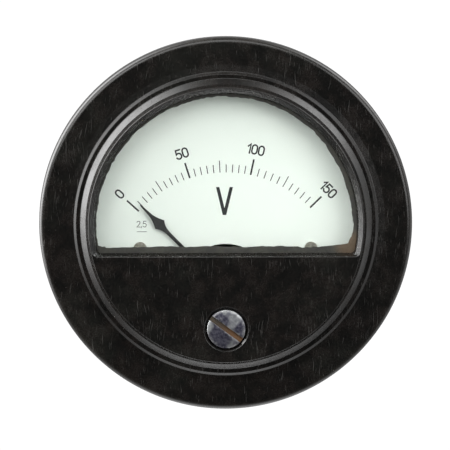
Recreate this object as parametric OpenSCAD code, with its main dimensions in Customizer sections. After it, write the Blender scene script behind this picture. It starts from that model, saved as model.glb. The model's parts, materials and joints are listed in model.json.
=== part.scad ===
// Round flush-mounting moving-coil panel voltmeter, 0 to 150 V.
// +Z is up and the dial faces -Y. The origin is the centre of the flange's back face,
// which seats on the panel. A smaller y is nearer the reader.

/* [Case] */
// Diameter of the flange that covers the panel cut-out
flange_d = 85; // [82:1:110]
// Thickness of the flange
flange_t = 5; // [4.5:0.25:7]
// Rounding of the flange's front edge
flange_round = 1.25; // [0.5:0.25:2]
// Height of the small step at the foot of the boss
step_h = 0.6; // [0.3:0.1:1]
// Height of the raised boss above the flange
boss_h = 4.5; // [3.5:0.25:6]
// Diameter of the boss at its foot
boss_d = 66.4; // [65:0.2:67]
// How far the boss's side wall leans in over its height
boss_draft = 1.7; // [0.8:0.1:2]
// Thickness of the boss's front wall
panel_t = 2.6; // [2:0.1:3]
// Diameter of the barrel behind the panel
barrel_d = 66; // [65:0.5:68]
// Depth of the barrel behind the panel
barrel_depth = 34; // [33:1:60]
// Thickness of the barrel's side wall
barrel_wall = 2.4; // [1.6:0.1:2.8]
// Thickness of the barrel's rear wall
rear_t = 2.5; // [2:0.25:4]
// Width of the lip that fixes the barrel to the cover
lip_w = 3.4; // [3.2:0.1:4]
// Thickness of that lip
lip_t = 1.8; // [1.4:0.1:2.4]

/* [Window] */
// Radius of the window's arc at the front
window_r = 31.1; // [30.6:0.1:31.2]
// Radius of the window's arc at the glass
window_back_r = 29.8; // [29:0.1:30]
// Height of the window's straight edge at the front
window_edge = -7.15; // [-8:0.05:-6]
// Height of the window's straight edge at the glass
window_back_edge = -6.5; // [-7.2:0.05:-6]
// Thickness of the glass
glass_t = 1.9; // [1.5:0.1:2.4]
// How far the glass reaches behind the window's straight edge
glass_lap = 2.7; // [1.5:0.1:3]
// Width of the cement bead around the window
cement_w = 0.8; // [0.4:0.1:1]
// Thickness of the cement bead
cement_t = 0.5; // [0.3:0.05:0.8]

/* [Zero adjuster] */
// Distance of the adjuster below the case centre
zero_drop = 23.7; // [22.5:0.1:24.5]
// Radius of the slotted head
zero_head_r = 4.35; // [3.5:0.05:5]
// Width of the screwdriver slot
zero_slot_w = 1.15; // [0.8:0.05:1.5]
// Angle of the slot, down to the right
zero_slot_angle = 36; // [0:1:90]
// Depth of the recess that the head lies in
zero_recess = 1.3; // [1:0.05:1.5]
// Radius of the adjuster's shank
zero_shank_r = 2; // [1.5:0.1:2.5]
// Distance of the eccentric pin from the adjuster's axis
zero_throw = 1.2; // [0.8:0.1:1.4]

/* [Dial and pointer] */
// Distance of the pivot below the case centre
pivot_drop = 15.5; // [15:0.1:16]
// Distance from the front of the boss back to the dial
dial_depth = 8.5; // [8.5:0.1:9]
// Thickness of the dial plate
dial_t = 0.6; // [0.4:0.1:0.8]
// Radius of the dial's cut-out round the pivot
dial_cut_r = 10.6; // [10.3:0.1:11]
// Length of the pointer from the pivot to its tip
pointer_len = 27.6; // [22:0.1:28]
// Thickness of the pointer
pointer_t = 0.3; // [0.2:0.05:0.4]
// Angle of the pointer at rest, from straight up, positive to the right
rest_angle = -44.8; // [-47:0.1:-40]
// Pointer angle at the lower stop
low_stop = -50.5; // [-51:0.1:-49]
// Pointer angle at the upper stop
high_stop = 48.3; // [47:0.1:49]

/* [Movement] */
// Radius of the soft-iron core
core_r = 4.8; // [4.6:0.05:4.9]
// Radius of the bore in the pole pieces
bore_r = 6.8; // [6.75:0.05:7]
// Length of the coil former along the pivot axis
coil_len = 14; // [14:0.1:14.4]
// Thickness of the pole pieces
pole_t = 11; // [10.6:0.1:11.4]
// Half the gap between the magnet's legs
magnet_gap = 11.5; // [11.2:0.1:11.6]
// Width of the magnet's legs and bow
magnet_w = 6; // [5:0.1:6.2]
// Thickness of the magnet
magnet_t = 10; // [8:0.25:10.2]
// Thickness of the movement's base plate
base_t = 2; // [1.5:0.1:2.2]
// Radius of the pillars between the base plate and the rear wall
pillar_r = 2.5; // [2:0.1:2.6]

/* [Fixings] */
// Radius of the mounting studs
stud_r = 1.5; // [1.25:0.05:2]
// Length of the mounting studs behind the panel seat
stud_len = 16; // [10:1:30]
// Radius of the terminal studs
terminal_r = 2.5; // [2:0.1:3]
// Length of the terminal studs behind the rear wall
terminal_len = 15; // [12:1:20]
// Half the distance between the terminals
terminal_x = 16; // [15:0.25:17]

/* [Hidden] */
$fn = 96;

// Clearances: seated parts, parts that turn, parts that pass through, and faces kept apart
seat_fit = 0.03;
run_fit = 0.05;
pass_fit = 0.15;
face_gap = 0.1;
eps = 0.01;

// Case, from the reader towards the panel
front_y = -(flange_t + boss_h);
inner_y = front_y + panel_t;
glass_back = inner_y + glass_t;
flange_r = flange_d / 2;
barrel_r = barrel_d / 2;
barrel_bore = barrel_r - barrel_wall;
boss_r = boss_d / 2;
boss_top_r = boss_r - boss_draft;
boss_edge = 0.3;
step_r = boss_r + 1;
step_lean = 0.75;
cavity_r = 30.8;
rear_inner = barrel_depth - rear_t;
rear_round = 1.5;
lip_r = barrel_r + lip_w;
lip_recess = lip_t + 0.2;
lip_front = -lip_recess;

// Screws into the cover: pitch radius, thread, head and length
case_screw_r = 0.8;
case_head_r = 1.45;
case_screw_len = 3.6;
case_hole_spare = 1.4;
case_screw_xz = [for (a = [45:90:315]) (barrel_r + lip_w / 2) * [cos(a), sin(a)]];
stud_cover_t = 1.8;
stud_embed = flange_t - stud_cover_t;
stud_head_r = stud_r + 0.5;
stud_circle = (lip_r + flange_r) / 2;
stud_xz = [for (a = [90:120:330]) stud_circle * [cos(a), sin(a)]];

// Glass
glass_r = cavity_r - 0.2;
glass_edge = window_back_edge - glass_lap;
corner_round = 1;

// Zero adjuster
zero_z = -zero_drop;
zero_gap_w = 0.38;
zero_chamfer = 0.42;
zero_dome = 0.25;
zero_slot_depth = 0.8;
zero_washer_t = 0.35;
zero_disc_r = 2.6;
zero_disc_t = 0.6;
zero_pin_r = 0.45;
zero_head_back = front_y + zero_recess;
zero_washer_back = inner_y + zero_washer_t;
zero_disc_front = zero_washer_back + face_gap / 2;
zero_disc_back = zero_disc_front + zero_disc_t;

// Pivot line: dial, pointer, front hairspring and front bridge, going towards the reader
pivot_z = -pivot_drop;
dial_y = front_y + dial_depth;
dial_back = dial_y + dial_t;
dial_r = cavity_r - 0.5;
dial_edge = -9;
dial_post_xz = [[-19.5, -5.9], [19.5, -5.9]];
dial_post_r = 1.25;
dial_screw_r = 0.8;
dial_head_r = 1.5;
dial_head_t = 0.7;
dial_screw_len = dial_t + 4;
dial_hole_spare = 0.2;
pointer_back = dial_y - 0.9;
pointer_front = pointer_back - pointer_t;
spring_w = 0.4;
spring_gap = 0.4;
front_spring_back = pointer_front - spring_gap;
front_spring_front = front_spring_back - spring_w;
bridge_t = 1.2;
bridge_back = front_spring_front - spring_gap;
bridge_front = bridge_back - bridge_t;
bridge_half = 2.5;
bridge_len = 10.4;
bridge_post_x = 8.6;
bridge_post_r = 1.4;
bridge_screw_r = 0.9;
bridge_head_r = 1.6;
fork_t = 0.5;
fork_back = bridge_front - face_gap;
fork_front = fork_back - fork_t;
fork_hub_r = 2.9;
fork_reach = zero_drop - pivot_drop + zero_throw;
fork_fit = 0.12;
fork_half_w = 1.5;
nut_t = 0.9;
nut_r = 2.6;
jewel_r = 1.5;
jewel_recess_r = 0.45;
jewel_recess = 0.8;
front_nut_back = fork_front - face_gap;
front_nut_front = front_nut_back - nut_t;
front_jewel_front = front_nut_front - 0.15;
front_jewel_back = bridge_back + 0.15;

// Pointer outline: half widths and distances from the pivot
shaft_half = 0.43;
tip_half = 0.18;
lance_half = 1.47;
lance_at = pointer_len - 6.2;
lance_foot = lance_at - 1.9;
lance_neck = lance_at + 3.4;
hub_r = 1.9;
arm_half = 0.45;
side_arm = 5.6;
tail_arm = 7.4;
weight_r = 0.95;
side_weight_len = 1.1;
tail_weight_len = 2.65;
cross_front = pointer_back;
cross_back = pointer_back + 0.3;
stop_at = 12;
stop_r = 0.45;
stop_reach = 1.7;

// Staffs, coil, core and pole pieces
staff_r = 0.7;
pivot_r = jewel_recess_r - run_fit;
collet_r = 1.2;
staff_foot_r = 2.2;
staff_foot_t = 0.4;
coil_front = dial_back + 1.4;
coil_back = coil_front + coil_len;
coil_inner = core_r + 0.4;
former_wall = 0.3;
coil_outer = bore_r - 0.5;
coil_end = 1.2;
former_half = 2;
winding_half = 1.8;
core_front = coil_front + coil_end + 0.8;
core_back = coil_back - coil_end - 0.8;
pole_front = coil_front + 1.5;
base_front = pole_front + pole_t;
base_back = base_front + base_t;
pole_half_h = 9.5;
pole_split = 2.6;
pole_screw_xz = [for (x = [-8.8, 8.8], z = [-6.2, 6.2]) [x, pivot_z + z]];
pole_screw_r = 1.25;
pole_head_r = 2;
pole_screw_len = base_t + 5;
pole_hole_depth = 3.2;
bracket_t = 1;
bracket_half = 1.5;
bracket_low = 7.2;
bracket_screw_x = 8;
bracket_screw_r = 0.8;
bracket_head_r = 1.1;
bracket_screw_z = (bracket_low + pole_half_h) / 2;

// Magnet, clamp and base plate
magnet_r = magnet_gap + magnet_w;
magnet_front = base_front - magnet_t;
bow_z = -4;
magnet_foot = -22;
clamp_z = bow_z + 8;
clamp_screw_z = clamp_z - 0.2;
clamp_half = 3;
clamp_t = 1;
clamp_boss_r = 2.8;
clamp_screw_r = 1.5;
base_half_w = 24.2;
base_low = -21;
base_high = -2;
tongue_half = 6;
tongue_top = 22.5;
base_r = barrel_bore - 0.8;
base_hole_r = bore_r + 1.7;
pillar_xz = [[-21.5, -15.5], [21.5, -15.5], [0, 19]];
pillar_screw_r = 1.5;
pillar_head_r = 2.3;
pillar_head_t = 1.2;
pillar_screw_len = 6;

// Rear bridge, jewel and hairspring, going away from the reader
rear_spring_front = coil_back + 1;
rear_spring_back = rear_spring_front + spring_w;
rear_bridge_front = rear_spring_back + 1.4;
rear_bridge_back = rear_bridge_front + bridge_t;
rear_bridge_half = 2.75;
rear_spacer_x = 10.9;
rear_spacer_r = 1.9;
rear_bridge_len = rear_spacer_x + rear_spacer_r + 0.3;
rear_screw_r = 0.9;
rear_head_r = 1.6;
arm_t = 0.4;
rear_arm_back = rear_bridge_back + arm_t;
rear_nut_back = rear_arm_back + nut_t;
rear_jewel_front = rear_bridge_front - 0.9;
rear_jewel_back = rear_nut_back + 0.6;
spring_turns = 4;
spring_steps = 20;
spring_strip = 0.12;
spring_outer = 4.1;
spring_tab_half = 0.3;
spring_tab_t = 0.35;

// Series resistor
resistor_z = 8;
resistor_core_r = 3.6;
resistor_cheek_r = 6.8;
resistor_cheek_t = 1.4;
resistor_len = 13.5;
resistor_winding_r = 6;
resistor_screw_r = 1.5;

// Terminals
terminal_z = -2;
terminal_xz = [[-terminal_x, terminal_z], [terminal_x, terminal_z]];
terminal_inside = 6;
terminal_groove = 0.5;
terminal_nut_af = terminal_r * 3.2;
terminal_nut_t = terminal_r * 1.6;
washer_t = 0.8;
washer_r = terminal_r * 2;
tag_t = 0.5;
tag_len = washer_r + 4;
inner_nut_t = terminal_r * 1.2;
inner_washer_front = rear_inner - tag_t;
inner_nut_front = inner_washer_front - inner_nut_t;
mark_z = terminal_z + washer_r + 4;
mark_len = 3.6;
mark_w = 0.9;
mark_h = 0.35;
wire_r = 0.6;
wire_sides = 8;
wire_steps = 12;

// Colours
phenolic = [0.07, 0.06, 0.055];
brass = [0.72, 0.58, 0.30];
nickel = [0.66, 0.66, 0.64];
soft_iron = [0.42, 0.42, 0.43];
dull_black = [0.12, 0.12, 0.12];

// Solid of revolution about the Y axis, from an outline of [radius, y]
module turned() rotate([-90, 0, 0]) rotate_extrude() children();

// Plate seen from the front, from an outline of [x, z], between two y values
module plate(front, back) translate([0, back, 0]) rotate([90, 0, 0]) linear_extrude(back - front) children();

// Round bar along Y
module rod(r, front, back, at = [0, 0]) {
    translate([at[0], front, at[1]]) rotate([-90, 0, 0]) cylinder(r = r, h = back - front);
}

// Rectangular block given by its two corners
module block(low, high) translate(low) cube(high - low);

// Countersink that narrows away from the face at y, towards the reader
module sink(r, head_r, y, at) {
    translate([at[0], y, at[1]]) rotate([90, 0, 0]) cylinder(r1 = head_r, r2 = r, h = head_r - r);
}

// Cheese-head screw with its head in front of the seat, or behind it when rear is true
module cheese_screw(at, seat, len, r, head_r, head_t, rear = false) {
    translate([at[0], seat, at[1]]) mirror([0, rear ? 1 : 0, 0]) difference() {
        union() {
            rod(head_r, -head_t, 0);
            rod(r, -eps, len);
        }
        block([-head_r - 1, -head_t - eps, -head_r / 7], [head_r + 1, -head_t / 2, head_r / 7]);
    }
}

// Screw with a countersunk head flush with the rear face at y, running towards the reader
module sunk_screw(at, y, len, r, head_r) {
    difference() {
        union() {
            rod(r, y - len, y, at);
            sink(r, head_r, y, at);
        }
        translate([at[0], y, at[1]]) block([-head_r, -0.4, -head_r / 6], [head_r, eps, head_r / 6]);
    }
}

// D outline: a disc cut by a straight lower edge, with rounded corners
module d_outline(r, edge, corner) {
    centre_x = sqrt(pow(r - corner, 2) - pow(edge + corner, 2));
    centre_z = edge + corner;
    reach = r / (r - corner);
    difference() {
        intersection() {
            circle(r);
            translate([-r, edge]) square([2 * r, 2 * r]);
        }
        for (side = [-1, 1]) {
            polygon([
                [side * centre_x, centre_z], [side * centre_x, edge - 1],
                [side * 2 * r, edge - 1], 2 * reach * [side * centre_x, centre_z]
            ]);
        }
    }
    for (side = [-1, 1]) translate([side * centre_x, centre_z]) circle(corner);
}

// Front wall's window: a leaning arc, a leaning straight edge and rounded corners
module window_space() {
    lead = 1;
    intersection() {
        turned() polygon([
            [0, front_y - lead], [window_r, front_y - lead], [window_r, front_y],
            [window_back_r + 0.3, front_y + 1.1], [window_back_r, inner_y + eps], [0, inner_y + eps]
        ]);
        translate([-window_r, 0, 0]) rotate([90, 0, 90]) linear_extrude(2 * window_r) polygon([
            [front_y - lead, window_edge], [front_y, window_edge],
            [inner_y + eps, window_back_edge], [inner_y + eps, window_r], [front_y - lead, window_r]
        ]);
        plate(front_y - lead, inner_y + eps) d_outline(window_r, window_edge, corner_round);
    }
}

module cover_outline() {
    tier_y = -(flange_t + step_h);
    difference() {
        polygon([
            [0, front_y], [boss_top_r - boss_edge, front_y], [boss_top_r, front_y + boss_edge],
            [boss_r, tier_y], [step_r, tier_y], [step_r + step_lean, tier_y + 0.35],
            [step_r + step_lean + 1.6, -flange_t], [flange_r, -flange_t], [flange_r, 0], [0, 0]
        ]);
        translate([flange_r - flange_round, -flange_t - eps]) difference() {
            square([flange_round + eps, flange_round + eps]);
            translate([0, flange_round + eps]) circle(flange_round);
        }
    }
}

module front_cover() {
    color(phenolic) difference() {
        turned() cover_outline();
        turned() translate([0, inner_y]) square([cavity_r, -inner_y + eps]);
        turned() translate([0, lip_front]) square([lip_r + face_gap, lip_recess + eps]);
        window_space();
        for (at = case_screw_xz)
            rod(case_screw_r + seat_fit, lip_front - case_screw_len + case_hole_spare, lip_front + eps, at);
        for (at = stud_xz) rod(stud_head_r + seat_fit, -stud_embed, eps, at);
        rod(zero_shank_r + run_fit, front_y, inner_y + eps, [0, zero_z]);
        rod(zero_head_r + zero_gap_w, front_y - eps, zero_head_back, [0, zero_z]);
        translate([0, front_y, zero_z]) rotate([-90, 0, 0]) cylinder(
            r1 = zero_head_r + zero_gap_w + zero_chamfer, r2 = zero_head_r + zero_gap_w, h = zero_chamfer
        );
    }
}

module window_glass() {
    color([0.85, 0.92, 0.90, 0.35]) plate(inner_y, glass_back) d_outline(glass_r, glass_edge, corner_round);
}

module glass_cement() {
    color([0.30, 0.28, 0.22]) difference() {
        intersection() {
            plate(inner_y - cement_t, inner_y) circle(glass_r);
            window_space();
        }
        plate(inner_y - cement_t - eps, inner_y + eps) d_outline(
            window_back_r - cement_w, window_back_edge + cement_w, corner_round
        );
    }
}

module rear_case() {
    lip_back = lip_front + lip_t;
    color(phenolic) difference() {
        union() {
            turned() difference() {
                polygon([
                    [0, rear_inner], [barrel_bore, rear_inner], [barrel_bore, lip_front], [lip_r, lip_front],
                    [lip_r, lip_back], [barrel_r, lip_back], [barrel_r, barrel_depth], [0, barrel_depth]
                ]);
                translate([barrel_r - rear_round, barrel_depth - rear_round]) difference() {
                    square([rear_round + eps, rear_round + eps]);
                    circle(rear_round);
                }
            }
            polarity_marks();
        }
        for (at = case_screw_xz) {
            rod(case_screw_r + pass_fit, lip_front - eps, lip_back + eps, at);
            sink(case_screw_r + pass_fit, case_head_r + pass_fit, lip_back + eps, at);
        }
        for (at = pillar_xz) {
            rod(pillar_screw_r + pass_fit, rear_inner - eps, barrel_depth + eps, at);
            sink(pillar_screw_r + pass_fit, pillar_head_r + pass_fit, barrel_depth + eps, at);
        }
        for (at = terminal_xz) rod(terminal_r + pass_fit, rear_inner - eps, barrel_depth + eps, at);
    }
}

// Raised plus and minus signs above the terminals, plus on the reader's left from the rear
module polarity_marks() {
    plate(barrel_depth - eps, barrel_depth + mark_h) {
        for (x = [-terminal_x, terminal_x]) translate([x, mark_z]) square([mark_len, mark_w], center = true);
        translate([terminal_x, mark_z]) square([mark_w, mark_len], center = true);
    }
}

module case_screws() {
    color(nickel) for (at = case_screw_xz) {
        sunk_screw(at, lip_front + lip_t - 0.05, case_screw_len, case_screw_r, case_head_r);
    }
}

module mounting_studs() {
    color(brass) for (at = stud_xz) {
        rod(stud_head_r, -stud_embed, 0, at);
        rod(stud_r, -eps, stud_len, at);
    }
}

module zero_screw() {
    dome_r = (pow(zero_head_r, 2) + pow(zero_dome, 2)) / (2 * zero_dome);
    color([0.35, 0.35, 0.38]) translate([0, 0, zero_z]) difference() {
        union() {
            turned() intersection() {
                translate([0, front_y - zero_dome])
                    square([zero_head_r, zero_dome + zero_recess - face_gap / 2]);
                translate([0, front_y - zero_dome + dome_r]) circle(dome_r, $fn = 360);
            }
            rod(zero_shank_r, zero_head_back - face_gap, zero_disc_front);
        }
        rotate([0, zero_slot_angle, 0]) block(
            [-zero_head_r - 1, front_y - 1, -zero_slot_w / 2],
            [zero_head_r + 1, front_y + zero_slot_depth - zero_dome, zero_slot_w / 2]
        );
    }
}

module zero_eccentric() {
    color(brass) translate([0, 0, zero_z]) {
        rod(zero_disc_r, zero_disc_front, zero_disc_back);
        rod(zero_pin_r, zero_disc_back - eps, fork_back, [0, -zero_throw]);
    }
}

module zero_spring_washer() {
    color(nickel) plate(inner_y, zero_washer_back) translate([0, zero_z]) difference() {
        circle(zero_disc_r + 0.4);
        circle(zero_shank_r + pass_fit);
    }
}

module zero_regulator() {
    slot_half = zero_pin_r + fork_fit;
    color(brass) translate([0, 0, pivot_z]) {
        plate(fork_front, fork_back) difference() {
            union() {
                circle(fork_hub_r);
                translate([-fork_half_w, -fork_reach - 1]) square([2 * fork_half_w, fork_reach + 1]);
                translate([-spring_tab_half, 0]) square([2 * spring_tab_half, spring_outer + spring_tab_t]);
            }
            circle(jewel_r + run_fit);
            translate([-slot_half, -fork_reach - 2]) square([2 * slot_half, 2 + 2 * zero_throw]);
        }
        block(
            [-spring_tab_half, fork_back - eps, spring_outer],
            [spring_tab_half, front_spring_back, spring_outer + spring_tab_t]
        );
    }
}

module dial_plate() {
    color([0.93, 0.95, 0.92]) plate(dial_y, dial_back) difference() {
        intersection() {
            circle(dial_r);
            translate([-dial_r, dial_edge]) square([2 * dial_r, 2 * dial_r]);
        }
        translate([0, pivot_z]) circle(dial_cut_r);
        for (at = dial_post_xz) translate(at) circle(dial_screw_r + pass_fit);
        for (at = stop_xz()) translate(at) circle(stop_r + seat_fit);
    }
}

module dial_screws() {
    color(nickel) for (at = dial_post_xz) {
        cheese_screw(at, dial_y, dial_screw_len, dial_screw_r, dial_head_r, dial_head_t);
    }
}

module dial_posts() {
    color(brass) for (at = dial_post_xz) difference() {
        rod(dial_post_r, dial_back, base_front, at);
        rod(dial_screw_r + seat_fit, dial_back - eps, dial_y + dial_screw_len + dial_hole_spare, at);
    }
}

// Stop pins stand just outside the pointer's shaft at its two end angles
function stop_xz() = let (turn = asin((shaft_half + stop_r + seat_fit) / stop_at)) [
    for (a = [low_stop - turn, high_stop + turn]) [stop_at * sin(a), pivot_z + stop_at * cos(a)]
];

module pointer_stops() {
    color(brass) for (at = stop_xz()) rod(stop_r, dial_y - stop_reach, dial_back, at);
}

// Everything on the moving coil is drawn with the pointer straight up, then swung to its rest angle
module swung() translate([0, 0, pivot_z]) rotate([0, rest_angle, 0]) children();

module pointer() {
    color(dull_black) swung() plate(pointer_front, pointer_back) difference() {
        union() {
            circle(hub_r);
            polygon([
                [-shaft_half, staff_r + 0.5], [-shaft_half, lance_foot], [-lance_half, lance_at],
                [-0.55, lance_neck], [-tip_half, pointer_len - 1.6], [-tip_half, pointer_len],
                [tip_half, pointer_len], [tip_half, pointer_len - 1.6], [0.55, lance_neck],
                [lance_half, lance_at], [shaft_half, lance_foot], [shaft_half, staff_r + 0.5]
            ]);
        }
        circle(staff_r + seat_fit);
    }
}

// Tail and side arms that carry the balance weights, behind the pointer's hub
module balance_cross() {
    color(nickel) swung() plate(cross_front, cross_back) difference() {
        union() {
            circle(hub_r);
            translate([-side_arm, -arm_half]) square([2 * side_arm, 2 * arm_half]);
            translate([-arm_half, -tail_arm]) square([2 * arm_half, tail_arm]);
        }
        circle(staff_r + seat_fit);
    }
}

module balance_weights() {
    arm_y = (cross_front + cross_back) / 2;
    color(brass) swung() difference() {
        union() {
            for (side = [-1, 1]) {
                translate([side * (side_arm - 0.2), arm_y, 0]) rotate([0, -90 * side, 0])
                    cylinder(r = weight_r, h = side_weight_len);
            }
            translate([0, arm_y, -tail_arm + 0.2]) cylinder(r = weight_r, h = tail_weight_len);
        }
        block([-side_arm - 1, cross_front - seat_fit, -arm_half - seat_fit],
            [side_arm + 1, cross_back + seat_fit, arm_half + seat_fit]);
        block([-arm_half - seat_fit, cross_front - seat_fit, -tail_arm - 1],
            [arm_half + seat_fit, cross_back + seat_fit, 0]);
    }
}

// Rectangular frame round the core, given by its outer size, its wall and its half height
module coil_frame(half, front, back, wall, end_wall, half_h) {
    difference() {
        block([-half, front, -half_h], [half, back, half_h]);
        block([-half + wall, front + end_wall, -half_h - 1], [half - wall, back - end_wall, half_h + 1]);
    }
}

module coil_former() {
    side = coil_inner + former_wall;
    inset = coil_end - former_wall;
    color([0.75, 0.76, 0.78]) swung()
        coil_frame(side, coil_front + inset, coil_back - inset, former_wall, former_wall, former_half);
}

module coil_winding() {
    side = coil_inner + former_wall;
    end = coil_end - former_wall;
    color([0.62, 0.25, 0.10]) swung()
        coil_frame(coil_outer, coil_front, coil_back, coil_outer - side, end, winding_half);
}

// Staff with its foot on the coil, a collet for the hairspring and a pivot for the jewel
module staff(foot, collet, shoulder, tip) {
    rod(staff_foot_r, min(foot, foot + (tip < foot ? -1 : 1) * staff_foot_t),
        max(foot, foot + (tip < foot ? -1 : 1) * staff_foot_t));
    rod(staff_r, min(foot, shoulder), max(foot, shoulder));
    rod(collet_r, collet[0], collet[1]);
    rod(pivot_r, min(foot, tip), max(foot, tip));
}

module front_staff() {
    color(nickel) swung() staff(
        coil_front, [front_spring_front, front_spring_back + 0.1], front_jewel_back + 0.2,
        front_jewel_back - jewel_recess + 0.15
    );
}

module rear_staff() {
    color(nickel) swung() staff(
        coil_back, [rear_spring_front, rear_spring_back], rear_jewel_front - 0.2,
        rear_jewel_front + jewel_recess - 0.15
    );
}

// Flat spiral strip from the collet out to the fixed tab, ending straight up
module spiral(front, back, hand) {
    inner = collet_r + spring_strip / 2;
    count = spring_turns * spring_steps;
    points = [for (side = [-1, 1], i = [0:count])
        let (k = side < 0 ? i : count - i, turn = k / count,
            r = inner + (spring_outer - spring_strip / 2 - inner) * turn + side * spring_strip / 2,
            a = 90 + hand * (turn - 1) * spring_turns * 360)
        [r * cos(a), r * sin(a)]
    ];
    plate(front, back) polygon(points);
}

module front_hairspring() {
    color([0.75, 0.62, 0.40]) translate([0, 0, pivot_z]) spiral(front_spring_front, front_spring_back, 1);
}

module rear_hairspring() {
    color([0.75, 0.62, 0.40]) translate([0, 0, pivot_z]) spiral(rear_spring_front, rear_spring_back, -1);
}

module core() {
    color(soft_iron) rod(core_r, core_front, core_back, [0, pivot_z]);
}

// Strap across the pole pieces with an arm that reaches down between them to the core
module core_bracket() {
    top = pole_half_h;
    arm_back = core_back - 2;
    color(brass) translate([0, 0, pivot_z]) difference() {
        union() {
            block([-bracket_screw_x - 1.4, pole_front - bracket_t, bracket_low],
                [bracket_screw_x + 1.4, pole_front, top]);
            block([-bracket_half, pole_front - bracket_t, bracket_low], [bracket_half, arm_back, top]);
            block([-bracket_half, core_front + 1, 0], [bracket_half, arm_back, top]);
        }
        rod(core_r + seat_fit, core_front - 1, core_back + 1);
        for (x = [-bracket_screw_x, bracket_screw_x]) {
            rod(bracket_screw_r + pass_fit, pole_front - bracket_t - eps, pole_front + eps,
                [x, bracket_screw_z]);
        }
    }
}
module core_bracket_screws() {
    color(nickel) for (x = [-bracket_screw_x, bracket_screw_x]) {
        cheese_screw([x, pivot_z + bracket_screw_z], pole_front - bracket_t, bracket_t + 3,
            bracket_screw_r, bracket_head_r, 0.7);
    }
}

module pole_pieces() {
    color(soft_iron) difference() {
        for (side = [-1, 1]) {
            plate(pole_front, base_front) translate([side * (pole_split + magnet_gap) / 2, pivot_z])
                square([magnet_gap - pole_split, 2 * pole_half_h], center = true);
        }
        rod(bore_r, pole_front - 1, base_front + 1, [0, pivot_z]);
        for (at = pole_screw_xz) rod(pole_screw_r + seat_fit, base_front - pole_screw_len + base_t - 0.2,
            base_front + eps, at);
        for (x = [-1, 1]) {
            rod(bracket_screw_r + seat_fit, pole_front - eps, pole_front + pole_hole_depth,
                [x * bracket_screw_x, pivot_z + bracket_screw_z]);
            rod(bridge_screw_r + seat_fit, pole_front - eps, pole_front + pole_hole_depth,
                [x * bridge_post_x, pivot_z]);
        }
    }
}

module pole_screws() {
    color(nickel) for (at = pole_screw_xz) {
        cheese_screw(at, base_back, pole_screw_len, pole_screw_r, pole_head_r, 1.2, rear = true);
    }
}

module magnet() {
    color([0.36, 0.33, 0.31]) plate(magnet_front, base_front) {
        translate([0, bow_z]) difference() {
            circle(magnet_r);
            circle(magnet_gap);
            translate([-magnet_r - 1, -magnet_r - 1]) square([2 * magnet_r + 2, magnet_r + 1]);
        }
        for (x = [-magnet_r, magnet_gap]) translate([x, magnet_foot]) square([magnet_w, bow_z - magnet_foot]);
    }
}

// Bar over the front of the bow, on a round boss inside it
module magnet_clamp() {
    color(brass) difference() {
        union() {
            block([-clamp_half, magnet_front - clamp_t, clamp_z - clamp_half],
                [clamp_half, magnet_front, bow_z + magnet_r - 1]);
            rod(clamp_boss_r, magnet_front - eps, base_front, [0, clamp_screw_z]);
        }
        rod(clamp_screw_r + pass_fit, magnet_front - clamp_t - eps, base_front + eps, [0, clamp_screw_z]);
    }
}

module clamp_screw() {
    color(nickel) cheese_screw([0, clamp_screw_z], magnet_front - clamp_t, clamp_t + magnet_t + base_t,
        clamp_screw_r, pillar_head_r, 1.2);
}

module movement_base() {
    color([0.62, 0.60, 0.52]) plate(base_front, base_back) difference() {
        intersection() {
            circle(base_r);
            union() {
                translate([-base_half_w, base_low]) square([2 * base_half_w, base_high - base_low]);
                translate([-tongue_half, base_high - 1]) square([2 * tongue_half, tongue_top - base_high + 1]);
            }
        }
        translate([0, pivot_z]) circle(base_hole_r);
        translate([0, clamp_screw_z]) circle(clamp_screw_r + seat_fit);
        translate([0, resistor_z]) circle(resistor_screw_r + seat_fit);
        for (at = pole_screw_xz) translate(at) circle(pole_screw_r + pass_fit);
        for (at = pillar_xz) translate(at) circle(pillar_screw_r + pass_fit);
        for (x = [-rear_spacer_x, rear_spacer_x]) translate([x, pivot_z]) circle(rear_screw_r + seat_fit);
    }
}

module movement_pillars() {
    color(brass) for (at = pillar_xz) difference() {
        rod(pillar_r, base_back, rear_inner, at);
        rod(pillar_screw_r + seat_fit, base_back - eps, base_back + pillar_screw_len - base_t + 0.2, at);
        rod(pillar_screw_r + seat_fit, rear_inner - pillar_screw_len + rear_t - 0.2, rear_inner + eps, at);
    }
}

module base_screws() {
    color(nickel) for (at = pillar_xz) {
        cheese_screw(at, base_front, pillar_screw_len, pillar_screw_r, pillar_head_r, pillar_head_t);
    }
}

module rear_wall_screws() {
    color(nickel) for (at = pillar_xz) {
        sunk_screw(at, barrel_depth - 0.05, pillar_screw_len - 0.05, pillar_screw_r, pillar_head_r);
    }
}

module front_bridge() {
    color(brass) plate(bridge_front, bridge_back) translate([0, pivot_z]) difference() {
        square([2 * bridge_len, 2 * bridge_half], center = true);
        circle(jewel_r + seat_fit);
        for (x = [-bridge_post_x, bridge_post_x]) translate([x, 0]) circle(bridge_screw_r + pass_fit);
    }
}

module bridge_posts() {
    color(brass) for (x = [-bridge_post_x, bridge_post_x]) difference() {
        rod(bridge_post_r, bridge_back, pole_front, [x, pivot_z]);
        rod(bridge_screw_r + pass_fit, bridge_back - eps, pole_front + eps, [x, pivot_z]);
    }
}

module bridge_screws() {
    color(nickel) for (x = [-bridge_post_x, bridge_post_x]) {
        cheese_screw([x, pivot_z], bridge_front, pole_front - bridge_front + 3,
            bridge_screw_r, bridge_head_r, 0.8);
    }
}

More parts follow.
